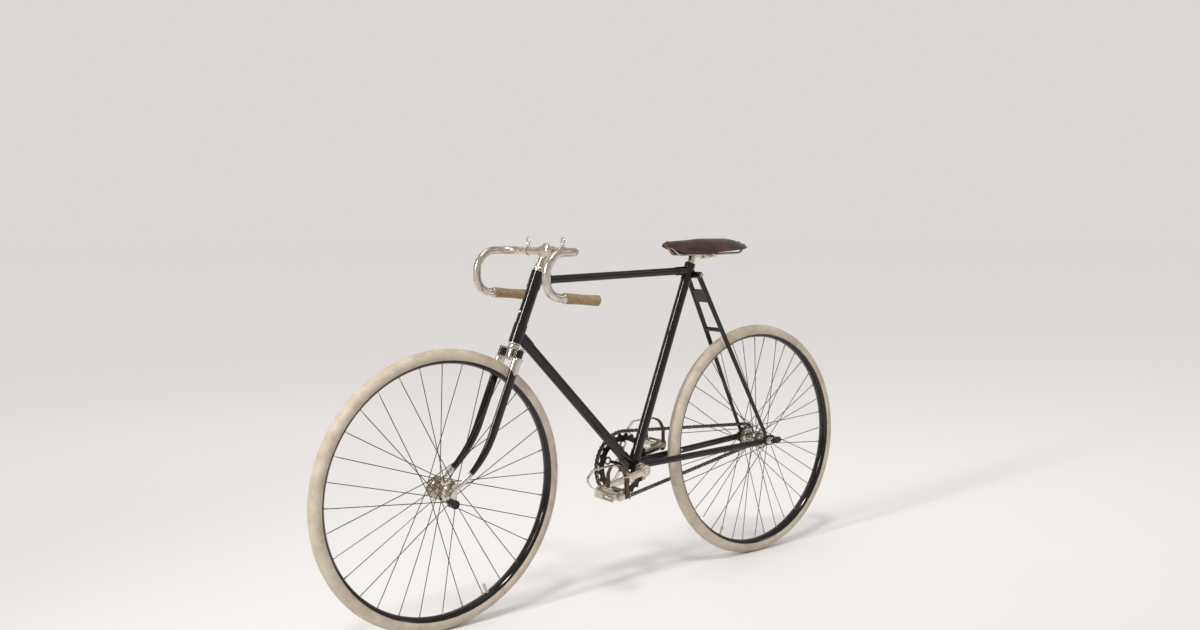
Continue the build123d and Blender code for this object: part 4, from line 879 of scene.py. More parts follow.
chainLook = {"pitch": 0.0254, "wheelTeeth": 24, "sprocketTeeth": 9, "left": -0.043, "blockPins": 0.0102,
             "eyeTurn": 112, "blockEye": 0.0052, "blockWaist": 0.0044, "blockWidth": 0.0048,
             "plateEye": 0.0049, "plateWaist": 0.0033, "plate": 0.0017, "plateGap": 0.00005, "rivet": 0.0023,
             "rivetHead": 0.0003}


def chainRoute():
    # radii of both toothed wheels on the pitch line, where the runs leave them, lengths of run and wraps
    big = chainLook["pitch"] / (2 * math.sin(math.pi / chainLook["wheelTeeth"]))
    small = chainLook["pitch"] / (2 * math.sin(math.pi / chainLook["sprocketTeeth"]))
    centres = bracket - rearAxle
    half = math.acos((big - small) / centres.length)
    turn = math.atan2(centres.z, centres.x)
    run = centres.length * math.sin(half)
    top = turn + math.pi - half
    foot = turn - math.pi + half
    return big, small, top, foot, run, small * 2 * half, big * 2 * (math.pi - half)


def chainPlace(distance):
    # the point this far along the chain from the chainwheel's top, and the way it faces out
    big, small, top, foot, run, sprocketWrap, wheelWrap = chainRoute()
    distance = distance % (2 * run + sprocketWrap + wheelWrap)
    if distance < run:
        start = onWheel(bracket, big, top, chainLook["left"])
        end = onWheel(rearAxle, small, top, chainLook["left"])
        return start.lerp(end, distance / run), top
    distance -= run
    if distance < sprocketWrap:
        turn = top + distance / small
        return onWheel(rearAxle, small, turn, chainLook["left"]), turn
    distance -= sprocketWrap
    if distance < run:
        start = onWheel(rearAxle, small, foot, chainLook["left"])
        end = onWheel(bracket, big, foot, chainLook["left"])
        return start.lerp(end, distance / run), foot
    turn = foot + (distance - run) / big
    return onWheel(bracket, big, turn, chainLook["left"]), turn


def linkShape(pinGap, eye, waist, width, chamfer=0.0004, steps=8):
    # a figure-eight link: two round eyes and a narrower waist, long in x, thick in y
    def outline(less):
        edge = []
        for end in (1, -1):
            for step in range(steps + 1):
                turn = math.radians(chainLook["eyeTurn"] * (2 * step / steps - 1))
                edge.append((end * (pinGap / 2 + (eye - less) * math.cos(turn)),
                             end * (eye - less) * math.sin(turn)))
            edge.append((0.0, end * (waist - less)))
        return edge
    points = []
    half = width / 2
    for left, less in ((-half, chamfer), (chamfer - half, 0), (half - chamfer, 0), (half, chamfer)):
        points += [Vector((x, left, z)) for x, z in outline(less)]
    return points, stackedFaces(len(points) // 4, 4)


def dressChain():
    look = chainLook
    run, sprocketWrap, wheelWrap = chainRoute()[4:]
    loop = 2 * run + sprocketWrap + wheelWrap
    count = round(loop / look["pitch"])
    spacing = loop / count
    blocks = []
    plates = []
    rivets = []
    plateOff = (look["blockWidth"] + look["plate"]) / 2 + look["plateGap"]
    for number in range(count):
        for places, phase, sides in ((blocks, 0, (0,)), (plates, 0.5, (plateOff, -plateOff))):
            place, turn = chainPlace((number + phase) * spacing)
            out = Vector((math.cos(turn), 0, math.sin(turn)))
            for left in sides:
                places.append((place + Vector((0, left, 0)), out, out.cross(Vector((0, 1, 0)))))
        for end in (1, -1):
            place, turn = chainPlace(number * spacing + end * look["blockPins"] / 2)
            for hand in (1, -1):
                out = Vector((0, hand, 0))
                rivets.append((place + out * (plateOff + look["plate"] / 2), out))
    block = linkShape(look["blockPins"], look["blockEye"], look["blockWaist"], look["blockWidth"])
    plate = linkShape(look["pitch"] - look["blockPins"], look["plateEye"], look["plateWaist"], look["plate"],
                      0.0003)
    for name, shape, places in (("chainBlocks", block, blocks), ("chainPlates", plate, plates)):
        piece = copiesOn(name, shape, places, steel, "frame")
        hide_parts("chain")
    heads = pinsOn("chainRivets", rivets, look["rivet"], look["rivetHead"], polished, "frame", 10, 0.3)


dressChain()
print("chain dressed")

# Cranks

crankLook = {"inner": 0.053, "thick": 0.011, "boss": 0.017, "eye": 0.0125, "length": 0.165, "rootHalf": 0.011,
             "tipHalf": 0.009, "rings": (0.06, 0.16, 0.3, 0.5, 0.7, 0.86, 0.95), "armShare": 0.93,
             "armThins": 0.12, "squareness": 3.2,
             # a barrel's back and front chamfers; its dish: share at the rim, share at the floor, depth
             "chamfers": (0.0010, 0.0014), "dish": (0.62, 0.58, 0.0006),
             "cotterAlong": 0.0095, "cotterNut": (0.0212, 0.0095, 0.0042),    # down, across its flats, high
             "cotter": ((-0.023, 0), (-0.023, 0.0030), (-0.016, 0.0034), (-0.016, 0.0046), (0.021, 0.0046),
                        (0.022, 0.0036), (0.022, 0)),
             "shoulder": ((0, 0), (0, 0.0085), (0.0012, 0.0085), (0.0016, 0.0070), (0.0030, 0.0066),
                          (0.0030, 0))}


def dressCrank(hand, label):
    # a forged crank: turned boss and pedal eye, an arm that thins towards the pedal, a cotter with its nut
    look = crankLook
    foot = pedalPoint[hand]
    run = (foot - bracket).normalized()
    over = Vector((0, hand, 0))
    up = run.cross(Vector((0, 1, 0))).normalized()
    half = look["thick"] / 2
    middle = Vector((0, hand * (look["inner"] + half), 0))

    def barrel(centre, out):
        back, front = look["chamfers"]
        rim, floor, deep = look["dish"]
        profile = ((-half, 0), (-half, out - back), (back - half, out), (half - front, out),
                   (half, out - front), (half, out * rim), (half - deep, out * floor), (half - deep, 0))
        return turned(centre + middle, over, profile, 40)

    rings = []
    for share in look["rings"]:
        wide = look["rootHalf"] + (look["tipHalf"] - look["rootHalf"]) * share
        rings.append((bracket + run * look["length"] * share + middle, wide,
                      half * (look["armShare"] - look["armThins"] * share)))
    arm = ovalBar(rings, up, over, look["squareness"])
    crank = joined(label + "CrankDressed", [barrel(bracket, look["boss"]), barrel(foot, look["eye"]), arm],
                   nickel, "crankset")
    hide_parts(label + "_crank")
    pinMiddle = bracket + run * look["cotterAlong"] + middle
    down, wide, high = look["cotterNut"]
    cotter = [turned(pinMiddle, up, look["cotter"], 16), hexShape(pinMiddle - up * down, up, wide, high)]
    joined(label + "CrankCotter", cotter, polished, "crankset")
    shoulder = turned(foot + over * (look["inner"] + look["thick"]), over, look["shoulder"], 6)
    joined(label + "PedalShoulder", [shoulder], polished, "crankset")


for hand, label in ((1, "left"), (-1, "right")):
    dressCrank(hand, label)

lockRingLook = {"left": -0.0452, "notches": 12,
                "profile": ((0, 0.0121), (0, 0.0178, 0.0009), (0.0016, 0.0178, 0.0009), (0.0018, 0.0160),
                            (0.0018, 0.0121), (0, 0.0121))}
lockRing = turnedPiece("sprocketLockRing", rearAxle + Vector((0, lockRingLook["left"], 0)), (0, -1, 0),
                       lockRingLook["profile"], steel, "rear_wheel", 72, flutes=lockRingLook["notches"])
print("cranks dressed")

# Pedals, toe clips and straps

pedalLook = {"inner": 0.073, "outer": 0.157, "halfLength": 0.031, "halfHeight": 0.012, "teeth": 8,
             "tooth": 0.0036, "tip": (0.46, 0.54), "slotEnd": 0.45, "sheet": 0.0016, "slot": 0.0034,
             "barrel": 0.0095, "bore": 0.0055, "waistLess": 0.0008, "barrelEdge": 0.0006, "sawNarrow": 0.002,
             # where the barrel's collars end, from the inner end and from the outer end
             "innerCollar": (0.0072, 0.0082), "outerCollar": (0.0150, 0.0140, 0.0018),
             # the end plates lie this far from the inner and the outer end
             "endPlate": 0.0015, "endBars": (0.0025, -0.0095), "endShort": 0.0018, "sawShort": 0.001,
             # an end plate's half height at shares of its half length
             "endBar": ((-1, 0.0068), (-0.97, 0.0075), (-0.7, 0.0075), (-0.4, 0.0090), (-0.2, 0.0105),
                        (0.2, 0.0105), (0.4, 0.0090), (0.7, 0.0075), (0.97, 0.0075), (1, 0.0068)),
             "boss": ((-0.0018, 0.0088), (-0.0018, 0.0134), (-0.0012, 0.0140), (0.0012, 0.0140),
                      (0.0018, 0.0134), (0.0018, 0.0088), (-0.0018, 0.0088)),
             "cap": ((-0.002, 0), (-0.002, 0.0094), (0.0004, 0.0098), (0.0012, 0.0092), (0.0026, 0.0060),
                     (0.0030, 0)),
             "rivet": 0.0027, "rivetHead": 0.0006, "rivetAhead": 0.023}
clipLook = {"band": 0.0014, "width": 0.014, "swell": 0.14, "rootGap": 0.0001, "rootUps": (-0.009, 0.006),
            # ahead, up from the pedal's middle
            "toe": ((0.075, 0.030), (0.088, 0.052), (0.066, 0.074), (-0.002, 0.078), (-0.020, 0.0768)),
            "rounding": (0.005, 0.012, 0.014, 0.014, 0.03), "bolts": (-0.006, 0.002), "boltAhead": 0.0012}
strapLook = {"width": 0.012, "thick": 0.0022, "behind": -0.018, "near": 0.0012, "far": 0.0062,
             "foot": -0.0095, "top": 0.0775, "shoulder": 0.069, "shoulderIn": 0.014, "side": 0.046,
             "ends": (0.005, 0.0052), "tail": 0.002, "buckle": 0.040, "buckleOut": 0.0022,
             "buckleHalf": 0.0095, "buckleFoot": -0.008, "buckleTop": 0.010, "pinHalf": 0.0085,
             "wire": 0.0013, "roller": 0.0024, "rollerOut": 0.0012, "pin": 0.0014,
             "rounding": (0.018, 0.030, 0.06, 0.030, 0.018, 0.005, 0.005),
             # the loose tail: out from the strap's side, up, width
             "tailRows": ((0.0044, 0.050, 0.011), (0.0052, 0.040, 0.011), (0.0048, 0.024, 0.011),
                          (0.0060, 0.006, 0.010), (0.0072, -0.004, 0.006))}


def ribbon(route, widths, thick, wideWay):
    # a flat band along a route: its width lies along one direction, its thickness square to route and width
    route = [Vector(p) for p in route]
    last = len(route) - 1
    points = []
    for place, here in enumerate(route):
        run = (route[min(place + 1, last)] - route[max(place - 1, 0)]).normalized()
        off = run.cross(wideWay).normalized() * thick / 2
        wide = wideWay * widths[place] / 2
        points += [here - wide - off, here + wide - off, here + wide + off, here - wide + off]
    faces = [(0, 1, 2, 3)]
    for place in range(last):
        for side in range(4):
            nextSide = (side + 1) % 4
            faces.append((place * 4 + side, place * 4 + nextSide, place * 4 + 4 + nextSide,
                          place * 4 + 4 + side))
    faces.append((last * 4 + 3, last * 4 + 2, last * 4 + 1, last * 4))
    return points, faces


def plateShape(flat, cells, thick, at):
    # a plate from flat (a, b) points and their faces, given a thickness; at(a, b, off) sets a point in place
    half = len(flat)
    points = [at(a, b, off) for off in (-thick / 2, thick / 2) for a, b in flat]
    faces = [tuple(cell) for cell in cells]
    faces += [tuple(half + corner for corner in reversed(cell)) for cell in cells]
    edges = [(cell[place - 1], cell[place]) for cell in cells for place in range(len(cell))]
    faces += [(start, half + start, half + end, end) for start, end in edges if (end, start) not in edges]
    return points, faces


def sawPlate(at, ahead):
    # one toothed side plate of a pedal, with a long slot along its middle
    look = pedalLook
    width = look["outer"] - look["sawNarrow"] - look["inner"]
    run = width / look["teeth"]
    high = look["halfHeight"]
    low = high - look["tooth"]
    columns = []
    for number in range(look["teeth"]):
        start = look["inner"] + run * number
        columns += [(start, low)] + [(start + run * share, high) for share in look["tip"]]
    columns.append((look["inner"] + width, low))
    last = len(columns) - 1
    flat = []
    for place, (left, up) in enumerate(columns):
        slot = look["slot"] * (look["slotEnd"] if place in (2, last - 2) else 1)
        flat += [(left, -up), (left, -slot), (left, slot), (left, up)]
    cells = [(place * 4 + band, place * 4 + 4 + band, place * 4 + 5 + band, place * 4 + 1 + band)
             for place in range(last) for band in range(3) if band != 1 or place < 2 or place >= last - 2]
    return plateShape(flat, cells, look["sheet"], lambda left, up, off: at(ahead + off, left, up))


def pedalBody(at, over):
    # barrel, two end plates on their bosses and the two saw plates
    look = pedalLook
    inner = look["inner"]
    outer = look["outer"]
    barrel = look["barrel"]
    waist = barrel - look["waistLess"]
    edge = look["barrelEdge"]
    near, nearWaist = look["innerCollar"]
    farWaist, far, short = look["outerCollar"]
    profile = ((inner, look["bore"]), (inner, barrel - edge), (inner + edge, barrel), (inner + near, barrel),
               (inner + nearWaist, waist), (outer - farWaist, waist), (outer - far, barrel),
               (outer - short, barrel), (outer - short, look["bore"]), (inner, look["bore"]))
    shapes = [turned(at(0, 0, 0), over, profile, 40)]
    reach = look["halfLength"] - look["endShort"]
    for left in (inner + look["endBars"][0], outer + look["endBars"][1]):
        bar = [(at(reach * share, left, 0), half, look["endPlate"]) for share, half in look["endBar"]]
        shapes.append(ovalBar(bar, Vector((0, 0, 1)), over, 7))
        shapes.append(turned(at(0, left, 0), over, look["boss"], 36))
    return shapes + [sawPlate(at, ahead * (look["halfLength"] - look["sawShort"])) for ahead in (1, -1)]


def dressClip(at, over, label, body, middle):
    # a sprung steel band: up from the front plate, forward round the toe and back over the instep
    look = clipLook
    root = pedalLook["halfLength"] + look["band"] / 2 + look["rootGap"]
    corners = [at(root, middle, up) for up in look["rootUps"]]
    corners += [at(ahead, middle, up) for ahead, up in look["toe"]]
    route = roundedRoute(corners, look["rounding"], 9)
    shares = [place / len(route) for place in range(len(route))]
    widths = [look["width"] * (1 - look["swell"] + look["swell"] * math.cos(2 * math.pi * share))
              for share in shares]
    clip = joined(label + "ToeClipDressed", [ribbon(route, widths, look["band"], over)], nickel, body, 50)
    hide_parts(label + "_toe_clip")
    return [(at(root + look["boltAhead"], middle, height), (1, 0, 0)) for height in look["bolts"]]


def dressStrap(at, hand, label, body, middle):
    # the strap passes under the end plates and over the instep, through the clip's end
    look = strapLook
    ahead = Vector((1, 0, 0))
    behind = look["behind"]
    near = pedalLook["inner"] - look["near"]
    far = pedalLook["outer"] - look["far"]
    start, end = look["ends"]
    slope = look["shoulderIn"]
    loop = [(near, start), (near, look["side"]), (near + slope, look["shoulder"]), (middle, look["top"]),
            (far - slope, look["shoulder"]), (far, look["side"]), (far, look["foot"]), (near, look["foot"]),
            (near, end)]
    route = roundedRoute([at(behind, left, up) for left, up in loop], look["rounding"], 9)
    band = ribbon(route, [look["width"]] * len(route), look["thick"], ahead)
    strap = joined(label + "ToeStrap", [band], strapLeather, body, 50)
    # buckle on the outer side, below the instep, with its roller and the strap's loose tail
    buckleAt = at(behind, far + look["buckleOut"], look["buckle"])

    def onBuckle(x, out, z):
        return buckleAt + Vector((x, hand * out, z))

    side = look["buckleHalf"]
    pinEnd = look["pinHalf"]
    low = look["buckleFoot"]
    high = look["buckleTop"]
    corners = [onBuckle(x, 0, z) for x, z in ((-side, low), (side, low), (side, high), (-side, high))]
    roller = [onBuckle(x, look["rollerOut"], high) for x in (-pinEnd, pinEnd)]
    pin = [onBuckle(x, 0, 0) for x in (-pinEnd, pinEnd)]
    shapes = [tubeShape(corners, look["wire"], 10, True), tubeShape(roller, look["roller"], 14),
              tubeShape(pin, look["pin"], 10)]
    joined(label + "StrapBuckle", shapes, nickel, body)
    tail = [at(behind, far + out, up) for out, up, wide in look["tailRows"]]
    tailBand = ribbon(tail, [wide for out, up, wide in look["tailRows"]], look["tail"], ahead)
    joined(label + "StrapTail", [tailBand], strapLeather, body, 50)


def dressPedal(hand, label):
    look = pedalLook
    foot = pedalPoint[hand]
    body = label + "_pedal"
    over = Vector((0, hand, 0))
    middle = (look["inner"] + look["outer"]) / 2

    def at(ahead, left, up):
        return foot + Vector((ahead, hand * left, up))

    pedal = joined(label + "PedalDressed", pedalBody(at, over), nickel, body, 30)
    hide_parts(label + "_pedal")
    bolts = dressClip(at, over, label, body, middle)
    inside, outside = look["endBars"]
    ends = ((look["inner"] + inside - look["endPlate"], -1), (look["outer"] + outside + look["endPlate"], 1))
    plates = [(at(ahead, left, 0), (0, facing * hand, 0))
              for ahead in (-look["rivetAhead"], look["rivetAhead"]) for left, facing in ends]
    rivets = pinsOn(label + "PedalRivets", bolts + plates, look["rivet"], look["rivetHead"], polished, body,
                    12, 0.45)
    cap = turnedPiece(label + "PedalCap", at(0, look["outer"], 0), over, look["cap"], nickel, body, 32)
    dressStrap(at, hand, label, body, middle)


for hand, label in ((1, "left"), (-1, "right")):
    dressPedal(hand, label)
print("pedals dressed")

# Saddle

saddleLook = {"length": 0.285, "thick": 0.004, "endRound": 0.018, "endWidth": 0.45, "endDrop": 0.006,
              "endSkirt": 0.7, "endRows": 0.25, "rivet": 0.0042, "rivetHead": 0.0008,
              "plateGap": 0.0001, "plate": 0.0025, "plateIn": 0.006, "plateStep": 0.0045, "plateShare": 0.93,
              "cells": 34, "rows": 72,
              # how far forward, and the shares across the leather
              "rivets": ((-0.128, (-0.8, -0.5, -0.2, 0.2, 0.5, 0.8)), (0.128, (-0.55, 0, 0.55)))}
saddleSections = (
    # forward, half width, top, skirt depth
    (0.1425, 0.015, -0.009, 0.014),
    (0.0725, 0.027, -0.005, 0.040),
    (0.0, 0.046, 0.0, 0.044),
    (-0.0975, 0.088, 0.0, 0.030),
    (-0.1425, 0.072, -0.008, 0.015),
)
springLook = {"wire": 0.0035, "up": -0.047, "corners": (0.020, 0.024, 0.012), "nut": (0.0145, 0.0062),
              # forward, left, up
              "route": ((0.1285, 0.005, -0.0166), (0.0945, 0.0165, -0.047), (-0.054, 0.0165, -0.047),
                        (-0.1225, 0.054, -0.043), (-0.1285, 0.056, -0.0224)),
              "clipBehind": -0.022, "nutLeft": 0.0252, "boltLeft": 0.0314,
              "boltEnd": ((0, 0), (0, 0.004), (0.003, 0.0038), (0.0035, 0))}


def saddleArc(ahead):
    # half width, top and skirt depth at a place along the saddle, eased between the sections
    for (front, *near), (back, *far) in zip(saddleSections, saddleSections[1:]):
        if ahead >= back - 1e-9:
            share = (front - ahead) / (front - back)
            ease = share * share * (3 - 2 * share) * 0.5 + share * 0.5
            half, top, skirt = (a + (b - a) * ease for a, b in zip(near, far))
            break
    inset = min((saddleLook["length"] / 2 - abs(ahead)) / saddleLook["endRound"], 1)
    bulge = math.sqrt(max(1 - (1 - inset) ** 2, 0))
    narrow = saddleLook["endWidth"]
    shallow = saddleLook["endSkirt"]
    return (half * (narrow + (1 - narrow) * bulge), top - saddleLook["endDrop"] * (1 - bulge),
            skirt * (shallow + (1 - shallow) * bulge))


def onSaddle(ahead, share, depth=0.0):
    # a point on the leather, share from -1 at the right skirt to 1 at the left, and its outward direction
    half, top, skirt = saddleArc(ahead)
    radius = (half * half + skirt * skirt) / (2 * skirt)
    turn = share * math.atan2(half, radius - skirt)
    out = Vector((0, math.sin(turn), math.cos(turn)))
    return Vector((ahead, 0, top - radius)) + out * (radius - depth), out


def saddleSheet(places, reach, depths):
    # a curved sheet of the saddle's shape, between two depths below its top
    cells = saddleLook["cells"]
    row = cells + 1
    last = len(places) - 1
    sheet = row * len(places)
    points = [onSaddle(ahead, reach * (2 * place / cells - 1), depth)[0]
              for depth in depths for ahead in places for place in range(row)]
    faces = []
    for step in range(last):
        for place in range(cells):
            corner = step * row + place
            faces.append((corner, corner + row, corner + row + 1, corner + 1))
            faces.append((sheet + corner, sheet + corner + 1, sheet + corner + row + 1, sheet + corner + row))
    rim = list(range(row)) + [step * row + cells for step in range(1, last + 1)]
    rim += [last * row + place for place in range(cells - 1, -1, -1)]
    rim += [step * row for step in range(last - 1, 0, -1)]
    for corner, after in zip(rim, rim[1:] + rim[:1]):
        faces.append((corner, after, sheet + after, sheet + corner))
    return points, faces


def dressSaddle():
    look = saddleLook
    reach = look["length"] / 2
    rows = look["rows"]
    crowded = look["endRows"]    # how much closer the rows lie towards both ends
    places = [reach * (math.cos(math.pi * step / rows) * crowded + (1 - 2 * step / rows) * (1 - crowded))
              for step in range(rows + 1)]
    top = joined("saddleTopDressed", [saddleSheet(places, 1, (0, look["thick"]))], hide, "frame", 60)
    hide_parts("saddle_leather")
    # steel plates under both ends, which the rivets and the springs hold
    upper = look["thick"] + look["plateGap"]
    ends = [[end * (reach - look["plateIn"] - look["plateStep"] * step) for step in range(5)]
            for end in (1, -1)]
    sheets = [saddleSheet(end, look["plateShare"], (upper, upper + look["plate"])) for end in ends]
    plates = joined("saddlePlatesDressed", sheets, polished, "frame", 60)
    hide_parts("saddle_plates")
    rivets = [onSaddle(ahead, share) for ahead, shares in look["rivets"] for share in shares]
    heads = pinsOn("saddleRivets", rivets, look["rivet"], look["rivetHead"], copper, "frame", 18, 0.3)


def dressSprings():
    # two bent wires, level under the leather, which the clip's bolt holds in the middle
    look = springLook
    shapes = []
    nuts = []
    boltEnds = []
    for hand in (1, -1):
        over = (0, hand, 0)
        bent = roundedRoute([(x, hand * y, z) for x, y, z in look["route"]], look["corners"], 10)
        shapes.append(tubeShape(bent, look["wire"], 18))
        nuts.append(hexShape((look["clipBehind"], hand * look["nutLeft"], look["up"]), over, *look["nut"]))
        boltAt = (look["clipBehind"], hand * look["boltLeft"], look["up"])
        boltEnds.append(turned(boltAt, over, look["boltEnd"], 16))
    springs = joined("saddleSpringsDressed", shapes, polished, "frame")
    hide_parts("saddle_springs")
    joined("saddleClipNuts", nuts + boltEnds, polished, "frame")


dressSaddle()
dressSprings()
print("saddle dressed")

# Handlebar, grips, bell and loops

barLook = {"up": 0.64598, "radius": 0.0111, "rounding": (0.044, 0.056, 0.050, 0.050, 0.056, 0.044),
           # ahead, left, up from the bar's middle, for the left half
           "half": ((0, 0.168, 0), (0.113, 0.168, 0), (0.113, 0.168, -0.112), (-0.047, 0.172, -0.127))}
gripLook = {"radius": 0.0142, "long": 0.105, "start": 0.0006, "bore": 0.0112, "waist": 0.0011,
            "endRound": 0.0009, "steps": 24,
            # (along, out): the cap from the bar's end, the ferrule from the cork's inner end
            "cap": ((0.0006, 0), (0.0006, 0.0142), (-0.0006, 0.0145), (-0.0020, 0.0138), (-0.0034, 0.0095),
                    (-0.0039, 0.0040), (-0.0040, 0)),
            "ferrule": ((0, 0.0112), (0, 0.0141), (0.0010, 0.0144), (0.0022, 0.0140), (0.0050, 0.0132),
                        (0.0058, 0.0126), (0.0058, 0.0112), (0, 0.0112))}
barCentre = onSteering(0, 0, barLook["up"])


def onBar(ahead, left, up):
    return barCentre + Vector((ahead, left, up))


def dressBar():
    half = barLook["half"]
    corners = [onBar(x, -y, z) for x, y, z in reversed(half)] + [onBar(x, y, z) for x, y, z in half]
    bent = roundedRoute(corners, barLook["rounding"], 18)
    bar = joined("handlebarDressed", [tubeShape(bent, barLook["radius"], 32)], nickel, "steering")
    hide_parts("handlebar")


def dressGrip(hand, label):
    # a turned cork, slimmer at its middle, between a plated cap and a ferrule
    look = gripLook
    *_, (x, y, z), (endX, endY, endZ) = barLook["half"]
    end = onBar(endX, hand * endY, endZ)
    inward = (onBar(x, hand * y, z) - end).normalized()
    steps = look["steps"]
    profile = []
    for step in range(steps + 1):
        rounded = look["endRound"] if step in (0, steps) else 0
        out = look["radius"] - look["waist"] * math.sin(math.pi * step / steps) ** 2 - rounded
        profile.append((look["start"] + (look["long"] - look["start"]) * step / steps, out))
    first = (look["start"], look["bore"])
    profile = [first] + profile + [(look["long"], look["bore"]), first]
    grip = turnedPiece(label + "GripDressed", end, inward, profile, cork, "steering", 40)
    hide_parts("grips")
    cap = turned(end, inward, look["cap"], 40)
    ferrule = turned(end, inward, [(look["long"] + along, out) for along, out in look["ferrule"]], 40)
    joined(label + "GripMounts", [cap, ferrule], nickel, "steering")


bellLook = {"left": 0.032, "up": 0.002, "dome": 0.0213, "domeFrom": 0.0212, "domeHigh": 0.0124,
            "fullness": 0.8, "turns": (8, 20, 32, 44, 56, 68, 79), "leverRadius": 0.0017,
            # (ahead, out): the rim, the tip and the base
            "rim": ((0.0204, 0), (0.0204, 0.0196), (0.0200, 0.0212), (0.0208, 0.0215)),
            "tip": ((0.0336, 0.0028), (0.0340, 0.0024), (0.0340, 0)),
            "base": ((0.0118, 0), (0.0118, 0.0120), (0.0124, 0.0152), (0.0138, 0.0178), (0.0158, 0.0196),
                     (0.0186, 0.0206), (0.0192, 0.0200), (0.0192, 0.0060), (0.0204, 0.0060), (0.0204, 0)),
            # (left, out)
            "clamp": ((-0.006, 0.0113), (-0.006, 0.0131), (-0.0054, 0.0136), (0.0054, 0.0136),
                      (0.006, 0.0131), (0.006, 0.0113), (-0.006, 0.0113)),
            # ahead, left, up from the bell's middle
            "lever": ((0.0150, 0.010, 0), (0.0150, 0.024, -0.004), (0.0120, 0.034, -0.012)),
            "leverBend": 0.012, "padAt": (0.0120, 0.0345, -0.0125), "padFacing": (0.3, 0.2, -0.9),
            "pad": ((0, 0), (0, 0.0050), (0.0010, 0.0056), (0.0022, 0.0050), (0.0026, 0)),
            "screwAt": (-0.0128, -0.003), "screw": (0.007, 0.004)}


def dressBell():
    # a turned dome on a short post, clamped to the bar, with a thumb lever at its side
    look = bellLook
    middle = onBar(0, look["left"], look["up"])
    ahead = Vector((1, 0, 0))
    turns = [math.radians(turn) for turn in look["turns"]]
    dome = list(look["rim"])
    dome += [(look["domeFrom"] + look["domeHigh"] * math.sin(turn),
              look["dome"] * math.cos(turn) ** look["fullness"]) for turn in turns]
    dome += look["tip"]
    lever = roundedRoute([middle + Vector(place) for place in look["lever"]], [look["leverBend"]], 8)
    screwAhead, screwUp = look["screwAt"]
    shapes = [turned(middle, ahead, dome, 48), turned(middle, ahead, look["base"], 40),
              turned(onBar(0, look["left"], 0), (0, 1, 0), look["clamp"], 32),
              tubeShape(lever, look["leverRadius"], 12),
              turned(middle + Vector(look["padAt"]), look["padFacing"], look["pad"], 20),
              hexShape(onBar(screwAhead, look["left"], screwUp), (-1, 0, 0), *look["screw"])]
    bell = joined("bellDressed", shapes, nickel, "steering")
    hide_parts("bell")


loopLook = {"left": 0.082, "wire": 0.0019, "halfWide": 0.0068, "halfHigh": 0.0121, "middleUp": 0.0251,
            "egg": 0.12, "steps": 28,
            # (left, out)
            "band": ((-0.005, 0.0113), (-0.005, 0.0127), (-0.0042, 0.0131), (0.0042, 0.0131), (0.005, 0.0127),
                     (0.005, 0.0113), (-0.005, 0.0113))}


def dressLoops():
    # small wire loops that stand on the bar, each on its own clip band
    look = loopLook
    steps = look["steps"]
    turns = [2 * math.pi * step / steps for step in range(steps)]
    shapes = []
    for hand in (1, -1):
        left = hand * look["left"]
        ring = [onBar(0, left + look["halfWide"] * math.sin(turn) * (1 + look["egg"] * math.cos(turn)),
                      look["middleUp"] + look["halfHigh"] * math.cos(turn)) for turn in turns]
        shapes.append(turned(onBar(0, left, 0), (0, 1, 0), look["band"], 32))
        shapes.append(tubeShape(ring, look["wire"], 12, True))
    loops = joined("barLoopsDressed", shapes, nickel, "steering")
    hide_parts("bar_loops")


dressBar()
for hand, label in ((1, "left"), (-1, "right")):
    dressGrip(hand, label)
dressBell()
dressLoops()

# Head bearings, lock collar and bolts of the stem

headLook = {"foot": 0.38397, "top": 0.58597, "columnTop": 0.59997, "cupHigh": 0.006, "collarGap": 0.0004,
            # (along, out) from the head tube's end
            "cup": ((0, 0.0131), (0, 0.0181), (0.0008, 0.0184), (0.0024, 0.0184), (0.0030, 0.0176),
                    (0.0048, 0.0160), (0.0060, 0.0150), (0.0060, 0.0131), (0, 0.0131)),
            # (along, out, depth of its milling) from the collar's foot; how far out its top is
            "collar": ((0, 0.0129), (0, 0.0150), (0.0006, 0.0155, 0.0006), (0.0042, 0.0155, 0.0006),
                       (0.0048, 0.0146)),
            "collarTop": (0.0142, 0.0129), "notches": 48,
            # ahead, left from the steering's line
            "ear": ((-0.0135, -0.006), (-0.0215, -0.006), (-0.0215, 0.006), (-0.0135, 0.006)),
            "earUps": (0.0012, 0.0076), "earBehind": -0.0185, "earUp": 0.0044, "earNutLeft": 0.008,
            "earNut": (0.006, 0.004), "bolt": 0.0019, "boltEnds": (-0.009, 0.013),
            # how far out, width across flats and height of both bolt heads
            "stemBolt": (0.0136, 0.011, 0.0046), "lugBolt": (0.0136, 0.0075, 0.0040), "lugLeft": -0.012}


